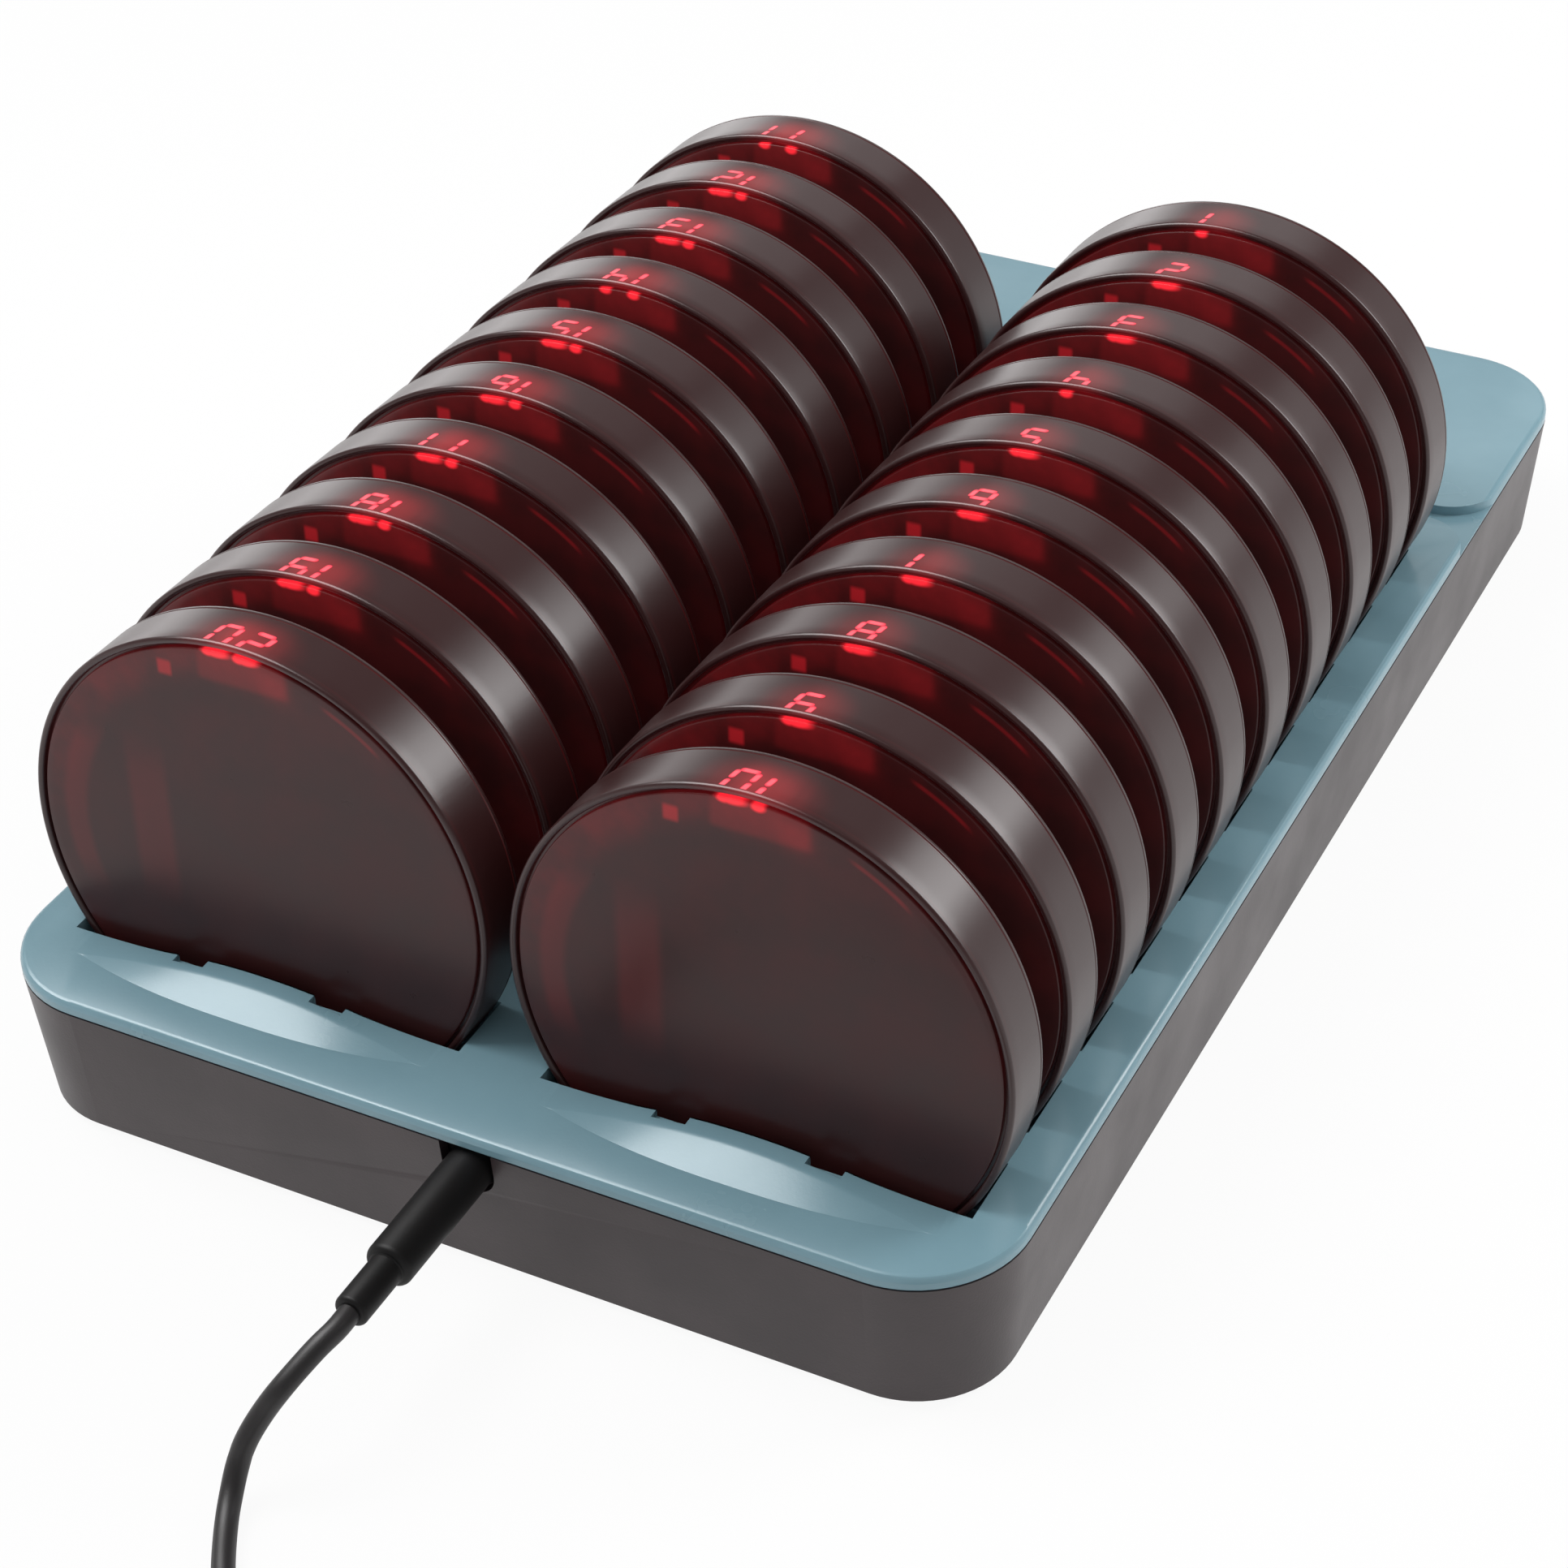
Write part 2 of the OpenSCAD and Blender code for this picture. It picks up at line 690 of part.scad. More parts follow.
module circuit_board() {
    color([0.08, 0.28, 0.16]) translate([0, pager_board_y, 0])
        footed(cavity_r - 1.5, pager_board_t, cavity_flat + 1);
    color([0.80, 0.10, 0.10]) block(lamp_bar, lamp_at[0], work_y - lamp_bar[1], lamp_at[1]);
    color([0.70, 0.70, 0.72]) translate([motor_at[0], work_y - motor_t, motor_at[1]])
        bar(motor_d / 2, motor_t);
}

module display() {
    color([0.75, 0.10, 0.10])
        block([display_w, display_l, display_h], 0, work_y - display_l, display_top - display_h);
}

module battery() {
    color([0.60, 0.62, 0.66]) block(battery, battery_at[0], work_y - battery[1], battery_at[1]);
}

module charge_contacts() {
    color([0.83, 0.68, 0.32]) for (s = [-1, 1]) block([pad_w, pad_t, pad_h], s * contact_x, pad_y, flat_z);
}

module pager_piece(name) {
    if (name == "rear_shell") rear_shell();
    if (name == "front_cover") front_cover();
    if (name == "circuit_board") circuit_board();
    if (name == "display") display();
    if (name == "battery") battery();
    if (name == "charge_contacts") charge_contacts();
}

module pager_group(name) {
    if (name == "case") {
        rear_shell();
        front_cover();
    }
    if (name == "works") {
        circuit_board();
        display();
        battery();
        charge_contacts();
    }
}

bottom_tray();
top_cover();
rubber_feet();
charge_boards();
spring_contacts();
power_jack();
jack_leads();
case_screws();
plug_barrel();
plug_grip();
cord_run();
cord_coil();
cord_tail();
cord_tie();
adapter_case();
adapter_pins();
for (p = PAGER_PIECES)
    at_pager(right, 0) pager_piece(p);
for (col = [right, left], i = [0 : rows - 1], p = ["case", "works"])
    if (!in_pieces(col, i))
        at_pager(col, i) pager_group(p);
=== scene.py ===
import math

import bmesh
import bpy
import numpy as np
from mathutils import Matrix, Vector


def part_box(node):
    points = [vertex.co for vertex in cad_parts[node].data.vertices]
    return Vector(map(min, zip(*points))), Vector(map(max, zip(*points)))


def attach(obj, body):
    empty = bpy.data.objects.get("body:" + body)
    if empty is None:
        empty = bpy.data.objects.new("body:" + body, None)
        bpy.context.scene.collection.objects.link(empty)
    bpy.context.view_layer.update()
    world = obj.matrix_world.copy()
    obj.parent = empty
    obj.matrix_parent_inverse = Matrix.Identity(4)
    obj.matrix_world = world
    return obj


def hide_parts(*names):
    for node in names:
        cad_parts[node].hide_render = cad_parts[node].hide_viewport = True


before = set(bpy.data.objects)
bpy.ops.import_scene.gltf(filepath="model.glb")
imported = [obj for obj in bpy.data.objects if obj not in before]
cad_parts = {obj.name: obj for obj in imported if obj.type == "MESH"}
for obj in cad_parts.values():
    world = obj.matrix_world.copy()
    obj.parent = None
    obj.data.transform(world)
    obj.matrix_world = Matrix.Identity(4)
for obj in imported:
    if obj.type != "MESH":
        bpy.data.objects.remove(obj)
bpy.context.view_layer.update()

# ---- View -----------------------------------------------------------------------------------------
# The camera stands to the front right of the base and looks down on it, as it did for the photograph.

MM = 0.001
camera_at = np.array([273.2, -550.0, 454.9]) * MM
camera_to = np.array([14.7, -63.8, 44.0]) * MM
camera_roll = -0.0343
camera_lens = 79.8
camera_film = 36.0

ahead = (camera_to - camera_at) / np.linalg.norm(camera_to - camera_at)
level = np.cross(ahead, [0, 0, 1])
level /= np.linalg.norm(level)
over = np.cross(level, ahead)
camera_right = level * math.cos(camera_roll) + over * math.sin(camera_roll)
camera_up = over * math.cos(camera_roll) - level * math.sin(camera_roll)

camera = bpy.data.objects.new("camera", bpy.data.cameras.new("camera"))
bpy.context.collection.objects.link(camera)
camera.data.lens = camera_lens
camera.data.sensor_width = camera_film
camera.data.clip_start = 0.02
camera.matrix_world = Matrix([
    (camera_right[0], camera_up[0], -ahead[0], camera_at[0]),
    (camera_right[1], camera_up[1], -ahead[1], camera_at[1]),
    (camera_right[2], camera_up[2], -ahead[2], camera_at[2]),
    (0, 0, 0, 1)])
bpy.context.scene.camera = camera
bpy.context.scene.view_settings.view_transform = "Standard"

# ---- Studio ---------------------------------------------------------------------------------------
# A pale counter that runs off to white. A soft lamp hangs overhead to the left and only lights, and
# another stands to the right. Three bright cards, overhead, left and behind, only show in reflections.


def node_of(tree, kind, settings=None, **sockets):
    """A new shader node with its settings and the values of its input sockets, by name or number."""
    node = tree.nodes.new(kind)
    for key, value in (settings or {}).items():
        setattr(node, key, value)
    for key, value in sockets.items():
        name = int(key[1:]) if key[0] == "_" else key.replace("_", " ")
        if isinstance(value, bpy.types.NodeSocket):
            tree.links.new(value, node.inputs[name])
        else:
            node.inputs[name].default_value = value
    return node


def maths(tree, operation, *values):
    """The output of a Math node with that operation on the given values or sockets."""
    inputs = {f"_{k}": value for k, value in enumerate(values)}
    return node_of(tree, "ShaderNodeMath", {"operation": operation}, **inputs).outputs[0]


def rise(tree, value, low, high, bottom=0.0, top=1.0):
    """Goes smoothly from bottom to top as the value goes from low to high."""
    return node_of(tree, "ShaderNodeMapRange", {"interpolation_type": "SMOOTHSTEP"}, Value=value,
                   From_Min=low, From_Max=high, To_Min=bottom, To_Max=top).outputs[0]


def empty_material(name):
    """A new material with nothing in its node tree, and that tree."""
    material = bpy.data.materials.new(name)
    material.use_nodes = True
    material.node_tree.nodes.clear()
    return material, material.node_tree


def colour(red, green, blue):
    """A shader colour from sRGB values of 0 to 255."""
    srgb = np.array([red, green, blue]) / 255
    linear = np.where(srgb <= 0.04045, srgb / 12.92, ((srgb + 0.055) / 1.055) ** 2.4)
    return (*map(float, linear), 1.0)


def soft_lamp(name, turn, height, distance, width, tall, radiance):
    """An area lamp aimed at the base. Its place is given as a compass turn from +Y towards +X and a
    height, both in degrees, and its power as the radiance of its face."""
    turn, height = math.radians(turn), math.radians(height)
    toward = np.array([math.sin(turn) * math.cos(height), math.cos(turn) * math.cos(height),
                       math.sin(height)])
    lamp = bpy.data.objects.new(name, bpy.data.lights.new(name, "AREA"))
    bpy.context.collection.objects.link(lamp)
    lamp.data.shape = "RECTANGLE"
    lamp.data.size = width
    lamp.data.size_y = tall
    lamp.data.energy = radiance * math.pi * width * tall
    side = np.cross([0, 0, 1], toward)
    side /= np.linalg.norm(side)
    top = np.cross(toward, side)
    place = toward * distance
    lamp.matrix_world = Matrix([
        (side[0], top[0], toward[0], place[0]),
        (side[1], top[1], toward[1], place[1]),
        (side[2], top[2], toward[2], place[2]),
        (0, 0, 0, 1)])
    return lamp


overhead_lamp = soft_lamp("overhead_lamp", -114, 62, 1.15, 0.58, 0.58, 6.0)
overhead_lamp.visible_glossy = False
soft_lamp("right_lamp", 53, 33.5, 1.0, 0.34, 0.42, 9.5)
for card in (soft_lamp("overhead_card", -99, 60, 1.22, 0.82, 0.82, 8.8),
             soft_lamp("left_card", -48, 5, 1.5, 1.3, 0.54, 2.1),
             soft_lamp("rear_card", -8, 30, 1.5, 0.8, 0.5, 1.0)):
    card.visible_diffuse = False

room_light = 0.55
wall_light_low, wall_light_high = 0.42, 0.12
world = bpy.data.worlds.new("studio")
bpy.context.scene.world = world
world.use_nodes = True
world.node_tree.nodes.clear()
tree = world.node_tree
facing = node_of(tree, "ShaderNodeTexCoord")
height = node_of(tree, "ShaderNodeSeparateXYZ", Vector=facing.outputs["Generated"])
walls = rise(tree, height.outputs["Z"], 0.08, 0.5, wall_light_low, wall_light_high)
rays = node_of(tree, "ShaderNodeLightPath")
seen = node_of(tree, "ShaderNodeMix", {"data_type": "FLOAT"}, Factor=rays.outputs["Is Glossy Ray"],
               A=room_light, B=walls)
clear = maths(tree, "MAXIMUM", rays.outputs["Is Camera Ray"], rays.outputs["Is Transmission Ray"])
strength = node_of(tree, "ShaderNodeMix", {"data_type": "FLOAT"}, Factor=clear,
                   A=seen.outputs["Result"], B=1.0)
sky = node_of(tree, "ShaderNodeBackground", Color=(1, 1, 1, 1), Strength=strength.outputs["Result"])
node_of(tree, "ShaderNodeOutputWorld", Surface=sky.outputs[0])

reach = 6.0
white_to_camera, white_in_mirrors = 0.93, 0.7
corners = [(-reach, -reach, 0), (reach, -reach, 0), (reach, reach, 0), (-reach, reach, 0)]
counter = bpy.data.meshes.new("counter")
counter.from_pydata(corners, [], [(0, 1, 2, 3)])
counter_top = bpy.data.objects.new("counter", counter)
bpy.context.collection.objects.link(counter_top)
paper, tree = empty_material("pale_counter")
matt = node_of(tree, "ShaderNodeBsdfDiffuse", Color=(0.86, 0.86, 0.86, 1))
white = node_of(tree, "ShaderNodeEmission", Color=(1, 1, 1, 1), Strength=1.0)
rays = node_of(tree, "ShaderNodeLightPath")
mirrored = maths(tree, "MULTIPLY", rays.outputs["Is Glossy Ray"], white_in_mirrors)
washed = maths(tree, "MULTIPLY_ADD", rays.outputs["Is Camera Ray"], white_to_camera, mirrored)
surface = node_of(tree, "ShaderNodeMixShader", _0=washed, _1=matt.outputs[0], _2=white.outputs[0])
node_of(tree, "ShaderNodeOutputMaterial", Surface=surface.outputs[0])
counter.materials.append(paper)

# ---- Cord of the power lead -----------------------------------------------------------------------
# A round two-core cord in a soft black jacket. It leaves the strain relief, drops to the counter and
# runs into a flat coil of seven and a half turns. Its jacket is a circle carried along the route.

cord_d = 4.2
run_points = [
    [4, -209.7, 25.9], [4, -214, 25.9], [2.7, -218.7, 24.8], [0, -225.1, 21], [-2.6, -228.3, 16.5],
    [-4.5, -231.4, 12], [-5.3, -233.8, 8], [-4.7, -237.6, 4.3], [-2.6, -242.7, 2.4], [2, -250.4, 2.2],
    [6.5, -256.5, 2.2], [11, -262, 2.2], [15.2, -267.5, 2.3], [18.3, -273.5, 2.6], [19.8, -279.5, 2.9],
    [20, -284.8, 3]]
tail_points = [
    [84, -284.8, 7.7], [84, -280.5, 7.4], [85.6, -274.6, 6.6], [89.2, -269.6, 5.8], [94.3, -266.2, 5.4],
    [100.2, -264.6, 5.6], [106, -264.5, 6]]
coil_x, coil_y, coil_r = 52, -289, 32
coil_turns = 7.5
loop_step = 4.7
climb_turns = 0.5
coil_low, coil_high = 3.0, 7.7
cord_step = 1.2
cord_sides = 14


def coil_points():
    """Turns that spiral in by one loop step a turn and out again on the layer above. The height goes
    from the lower to the upper layer in a smooth half turn about the middle."""
    turn = np.linspace(0, coil_turns, int(coil_turns * 24) + 1)
    radius = coil_r - loop_step * np.minimum(turn, coil_turns - turn)
    climb = np.clip((turn - coil_turns / 2) / climb_turns + 0.5, 0, 1)
    around = math.pi + 2 * math.pi * turn
    return np.stack([coil_x + radius * np.cos(around), coil_y + radius * np.sin(around),
                     coil_low + (coil_high - coil_low) * climb], axis=-1)


def smooth_path(points, step):
    """A smooth line through the points, with a point every step. Between two points it is the cubic
    whose slope at each is half the way between that point's neighbours."""
    points = np.asarray(points, float)
    lead_in, lead_out = 2 * points[0] - points[1], 2 * points[-1] - points[-2]
    held = np.vstack([lead_in, points, lead_out])
    a, b, c, d = (held[k:len(held) - 3 + k, None] for k in range(4))
    t = np.linspace(0, 1, 20, endpoint=False)[None, :, None]
    curve = 0.5 * (2 * b + (c - a) * t + (2 * a - 5 * b + 4 * c - d) * t**2
                   + (3 * b - a - 3 * c + d) * t**3)
    curve = np.vstack([curve.reshape(-1, 3), points[-1]])
    run = np.concatenate([[0], np.cumsum(np.linalg.norm(np.diff(curve, axis=0), axis=1))])
    evenly = np.linspace(0, run[-1], int(round(run[-1] / step)) + 1)
    return np.stack([np.interp(evenly, run, curve[:, k]) for k in range(3)], axis=-1)


def grid_mesh(name, rows, body):
    """A piece from a grid of points in mm. Each row is a ring round the piece, and a row of one and
    the same point closes a pole. Doubles are merged and faces are turned outwards."""
    rows = np.asarray(rows, float)
    n, m = rows.shape[:2]
    i, j = np.meshgrid(np.arange(n - 1), np.arange(m), indexing="ij")
    k = (j + 1) % m
    quads = np.stack([i * m + j, i * m + k, (i + 1) * m + k, (i + 1) * m + j], axis=-1).reshape(-1, 4)
    mesh = bpy.data.meshes.new(name)
    mesh.from_pydata((rows.reshape(-1, 3) * MM).tolist(), [], quads.tolist())
    return piece_of(name, mesh, body)


def piece_of(name, mesh, body, smooth_below=40):
    """A named piece from a mesh: merged, turned outwards, smooth except at corners over the given
    angle, riding on its body."""
    shape = bmesh.new()
    shape.from_mesh(mesh)
    bmesh.ops.remove_doubles(shape, verts=shape.verts, dist=1e-6)
    bmesh.ops.dissolve_degenerate(shape, edges=shape.edges, dist=1e-7)
    bmesh.ops.recalc_face_normals(shape, faces=shape.faces)
    shape.to_mesh(mesh)
    shape.free()
    mesh.shade_smooth()
    mesh.set_sharp_from_angle(angle=math.radians(smooth_below))
    piece = bpy.data.objects.new(name, mesh)
    bpy.context.collection.objects.link(piece)
    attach(piece, body)
    return piece


def carried_rings(path, radii, sides):
    """Rings about a path: a circle of the path's radius there, set square to its direction, with one
    side level. Each end closes on its own middle."""
    path = np.vstack([path[:1], path, path[-1:]])
    radii = np.concatenate([[0], radii, [0]])
    along = np.gradient(path[1:-1], axis=0)
    along = np.vstack([along[:1], along, along[-1:]])
    along /= np.linalg.norm(along, axis=1, keepdims=True)
    beside = np.cross(along, [0, 0, 1])
    beside /= np.linalg.norm(beside, axis=1, keepdims=True)
    above = np.cross(beside, along)
    turn = np.linspace(0, 2 * math.pi, sides, endpoint=False)
    ring = beside[:, None] * np.cos(turn)[None, :, None] + above[:, None] * np.sin(turn)[None, :, None]
    return path[:, None] + radii[:, None, None] * ring


def fine_grain_group():
    """Fine texture of moulded plastic: a small even grain, and slow cloudy patches as on handled
    plastic. Height is the grain, Cloud goes from 0 to 1 about a middle of a half."""
    group = bpy.data.node_groups.new("fine_grain", "ShaderNodeTree")
    group.interface.new_socket("Vector", in_out="INPUT", socket_type="NodeSocketVector")
    group.interface.new_socket("Grain Size", in_out="INPUT", socket_type="NodeSocketFloat")
    group.interface.new_socket("Cloud Size", in_out="INPUT", socket_type="NodeSocketFloat")
    group.interface.new_socket("Height", in_out="OUTPUT", socket_type="NodeSocketFloat")
    group.interface.new_socket("Cloud", in_out="OUTPUT", socket_type="NodeSocketFloat")
    given = group.nodes.new("NodeGroupInput")
    grain_scale = maths(group, "DIVIDE", 1.0, given.outputs["Grain Size"])
    cloud_scale = maths(group, "DIVIDE", 1.0, given.outputs["Cloud Size"])
    grain = node_of(group, "ShaderNodeTexNoise", Vector=given.outputs["Vector"], Scale=grain_scale,
                    Detail=2.0, Roughness=0.6)
    cloud = node_of(group, "ShaderNodeTexNoise", Vector=given.outputs["Vector"], Scale=cloud_scale,
                    Detail=4.0, Roughness=0.55)
    out = group.nodes.new("NodeGroupOutput")
    group.links.new(grain.outputs[0], out.inputs["Height"])
    group.links.new(cloud.outputs[0], out.inputs["Cloud"])
    return group


fine_grain = fine_grain_group()


def between(tree, share, start, end):
    """A colour that goes from start to end as the share goes from 0 to 1."""
    return node_of(tree, "ShaderNodeMix", {"data_type": "RGBA"}, Factor=share, _6=start, _7=end).outputs[2]


def gloss_about(tree, cloud, roughness, spread):
    """A roughness that varies by the spread to both sides with the slow patches."""
    return node_of(tree, "ShaderNodeMapRange", Value=cloud, From_Min=0.3, From_Max=0.7,
                   To_Min=roughness - spread, To_Max=roughness + spread).outputs[0]


def moulded(name, tint, shade, roughness, grain_mm=0.25, grain_depth=0.03, cloud_mm=30, spread=0.06,
            metallic=0.0, specular=0.5):
    """A moulded or plated finish. Its colour goes from tint to shade and its roughness by the spread
    with the slow patches, and the grain is a bump of the depth in mm."""
    material, tree = empty_material(name)
    where = node_of(tree, "ShaderNodeTexCoord").outputs["Object"]
    texture = node_of(tree, "ShaderNodeGroup", {"node_tree": fine_grain}, Vector=where,
                      Grain_Size=grain_mm * MM, Cloud_Size=cloud_mm * MM)
    cloud = texture.outputs["Cloud"]
    bump = node_of(tree, "ShaderNodeBump", Height=texture.outputs["Height"], Strength=1.0,
                   Distance=grain_depth * MM)
    shader = node_of(tree, "ShaderNodeBsdfPrincipled", Metallic=metallic, Specular_IOR_Level=specular,
                     Base_Color=between(tree, rise(tree, cloud, 0.3, 0.7), tint, shade),
                     Roughness=gloss_about(tree, cloud, roughness, spread), Normal=bump.outputs["Normal"])
    node_of(tree, "ShaderNodeOutputMaterial", Surface=shader.outputs[0])
    return material


cord_path = smooth_path(np.vstack([run_points, coil_points(), tail_points]), cord_step)
cord_rings = carried_rings(cord_path, np.full(len(cord_path), cord_d / 2), cord_sides)
cord = grid_mesh("power_cord", cord_rings, body="charging_base")
jacket = moulded("cord_jacket", colour(42, 39, 40), colour(34, 32, 33), 0.46, grain_mm=0.3, grain_depth=0.02)
cord.data.materials.append(jacket)
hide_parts("cord_run", "cord_coil", "cord_tail")

# ---- Plug of the lead -----------------------------------------------------------------------------
# Two plain steps of soft black plastic moulded over the plug: a fat grip with a rounded shoulder and
# a thinner sleeve that relieves the cord. Both are one profile turned about the plug's axis.

jack_x, jack_z = 4.0, 25.9
turned_sides = 64


def turned(profile, centre, axis):
    """Rings of a profile of (radius, place along the axis) turned about a line along +X or +Y."""
    radius, place = np.asarray(profile, float).T
    turn = np.linspace(0, 2 * math.pi, turned_sides, endpoint=False)
    rings = np.empty((len(radius), turned_sides, 3))
    along, across = (0, 1) if axis == "x" else (1, 0)
    rings[..., across] = centre[across] + radius[:, None] * np.cos(turn)
    rings[..., along] = place[:, None]
    rings[..., 2] = centre[2] + radius[:, None] * np.sin(turn)
    return rings


def rounded_step(radius, place, fillet):
    """Points of a quarter round at the end of a turned step, where it closes towards smaller y."""
    a = np.linspace(0, math.pi / 2, 6)
    return np.stack([radius - fillet * (1 - np.cos(a)), place + fillet * (1 - np.sin(a))], axis=-1)


plug_low, plug_high = (np.array(corner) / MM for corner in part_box("plug_grip"))
grip_r = (plug_high[0] - plug_low[0]) / 2
relief_r = 3.3
relief_l = 12.0
grip_edge, relief_foot = 0.4, 0.25
grip_fillet, relief_fillet = 1.3, 0.9
grip_front = plug_high[1]
relief_end = plug_low[1]
grip_end = relief_end + relief_l
plug_profile = np.vstack([
    [[0, grip_front], [grip_r - grip_edge, grip_front], [grip_r, grip_front - grip_edge]],
    rounded_step(grip_r, grip_end, grip_fillet),
    [[relief_r + relief_foot, grip_end], [relief_r, grip_end - relief_foot]],
    rounded_step(relief_r, relief_end, relief_fillet),
    [[cord_d / 2, relief_end], [0, relief_end]]])
plug = grid_mesh("plug_sleeve", turned(plug_profile, (jack_x, 0, jack_z), "y"), body="charging_base")
soft_black = moulded("soft_black_plastic", colour(25, 23, 24), colour(19, 18, 18), 0.48, grain_mm=0.35,
                     grain_depth=0.015, spread=0.05, specular=0.25)
plug.data.materials.append(soft_black)
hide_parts("plug_grip")


def refinish(material, *nodes):
    """The CAD pieces take this material on their own slots."""
    for name in nodes:
        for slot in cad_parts[name].material_slots:
            slot.material = material


nickel = moulded("nickel_plate", (0.66, 0.65, 0.63, 1), (0.58, 0.57, 0.55, 1), 0.24, grain_depth=0.004,
                 cloud_mm=3, spread=0.05, metallic=1.0)
refinish(nickel, "plug_barrel", "adapter_pins")

# ---- Tie of the coil ------------------------------------------------------------------------------
# A flat strap of black nylon with two shallow grooves along it. It goes once round the turns, under
# the coil and back over it, as one rounded loop.

tie_low, tie_high = (np.array(corner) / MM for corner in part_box("cord_tie"))
tie_t = 0.8
tie_bend = 1.7
strap_section = np.array([
    [0, 0.12], [0.03, 0.02], [0.1, 0], [0.27, 0], [0.31, 0.16], [0.36, 0.16], [0.4, 0], [0.6, 0],
    [0.64, 0.16], [0.69, 0.16], [0.73, 0], [0.9, 0], [0.97, 0.02], [1, 0.12], [1, tie_t], [0, tie_t]])


def rounded_outline(low, high, bend, inset):
    """Points round an upright rectangle with round corners, brought in by the inset."""
    low, high = np.asarray(low, float) + inset, np.asarray(high, float) - inset
    bend = max(bend - inset, 0.05)
    points = []
    for corner, start in (((1, 1), 0), ((0, 1), 90), ((0, 0), 180), ((1, 0), 270)):
        middle = [high[k] - bend if corner[k] else low[k] + bend for k in (0, 1)]
        a = np.radians(np.linspace(start, start + 90, 8))
        points.append(np.stack([middle[0] + bend * np.cos(a), middle[1] + bend * np.sin(a)], axis=-1))
    return np.vstack(points)


strap_rings = []
for across, depth in np.vstack([strap_section, strap_section[:1]]):
    loop = rounded_outline(tie_low[1:], tie_high[1:], tie_bend, depth)
    strap_rings.append(np.insert(loop, 0, tie_low[0] + across * (tie_high[0] - tie_low[0]), axis=1))
tie = grid_mesh("coil_strap", strap_rings, body="charging_base")
tie.data.materials.append(soft_black)
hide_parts("cord_tie")

# ---- Mains adapter --------------------------------------------------------------------------------
# A black plastic case in two halves with a joint groove round its middle and round edges, a ribbed
# sleeve where the cord enters, and two nickel pins at the other end.

case_low, case_high = (np.array(corner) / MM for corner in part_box("adapter_case"))
sleeve_l = 12.0
case_bend = 6.0
case_edge = 1.8
case_middle = (case_low[1] + case_high[1]) / 2
case_from = np.array([case_low[0] + sleeve_l, case_low[1]])
joint_z = (case_low[2] + case_high[2]) / 2
joint_deep, joint_in, joint_out = 0.35, 0.3, 0.5
round_over = np.radians(np.linspace(0, 90, 7))
edge_steps = case_edge * (1 - np.stack([np.sin(round_over), np.cos(round_over)], axis=-1))
levels = np.vstack([
    edge_steps,
    [[0, joint_z - joint_out], [joint_deep, joint_z - joint_in], [joint_deep, joint_z + joint_in],
     [0, joint_z + joint_out]],
    edge_steps[::-1] * (1, -1) + (0, case_high[2])])
case_rings = [np.insert(rounded_outline(case_from, case_high[:2], case_bend, inset), 2, z, axis=1)
              for inset, z in levels]
middle = (case_from + case_high[:2]) / 2
floor, roof = (np.tile([*middle, z], (len(case_rings[0]), 1)) for z in (case_low[2], case_high[2]))
case_rings = [floor, *case_rings, roof]
adapter = grid_mesh("adapter_shell", case_rings, body="charging_base")
adapter.data.materials.append(soft_black)
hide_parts("adapter_case")

sleeve_thin, sleeve_thick = 3.5, 4.5
rib_deep = 0.5
sleeve_profile = [[0, case_low[0]], [cord_d / 2 + 0.1, case_low[0]], [sleeve_thin - 0.2, case_low[0]],
                  [sleeve_thin, case_low[0] + 0.25]]
for at in np.linspace(1.6, sleeve_l - 2.4, 5):
    outer = sleeve_thin + (sleeve_thick - sleeve_thin) * at / sleeve_l
    for deep, aside in ((0, -0.4), (rib_deep, -0.25), (rib_deep, 0.25), (0, 0.4)):
        sleeve_profile.append([outer - deep, case_low[0] + at + aside])
sleeve_profile += [[sleeve_thick, case_from[0]], [sleeve_thick, case_from[0] + 1], [0, case_from[0] + 1]]
sleeve = grid_mesh("adapter_sleeve", turned(sleeve_profile, (0, case_middle, tail_points[-1][2]), "x"),
                   body="charging_base")
sleeve.data.materials.append(soft_black)
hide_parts("adapter_case")

# ---- Bottom tray ----------------------------------------------------------------------------------
# The lower shell of the base, moulded in dark grey plastic with a fine matt texture. A round recess
# in its front wall takes the plug, and it stands on black rubber feet.

eased_edge = 0.3
corner_above = 30
flat_below = 0.6


def eased_copy(name, node):
    """A copy of a CAD piece with its outer corners eased: merged, its flat faces made whole, and a
    narrow bevel on each sharp corner."""
    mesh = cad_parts[node].data.copy()
    mesh.name = name
    mesh.materials.clear()
    shape = bmesh.new()
    shape.from_mesh(mesh)
    bmesh.ops.remove_doubles(shape, verts=shape.verts, dist=2e-6)
    bmesh.ops.dissolve_limit(shape, angle_limit=math.radians(flat_below), verts=shape.verts,
                             edges=shape.edges)
    shape.to_mesh(mesh)
    shape.free()
    piece = piece_of(name, mesh, "charging_base", smooth_below=corner_above)
    easing = piece.modifiers.new("eased_edges", "BEVEL")
    easing.width = eased_edge * MM
    easing.segments = 2
    easing.limit_method = "ANGLE"
    easing.angle_limit = math.radians(corner_above)
    easing.harden_normals = True
    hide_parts(node)
    return piece


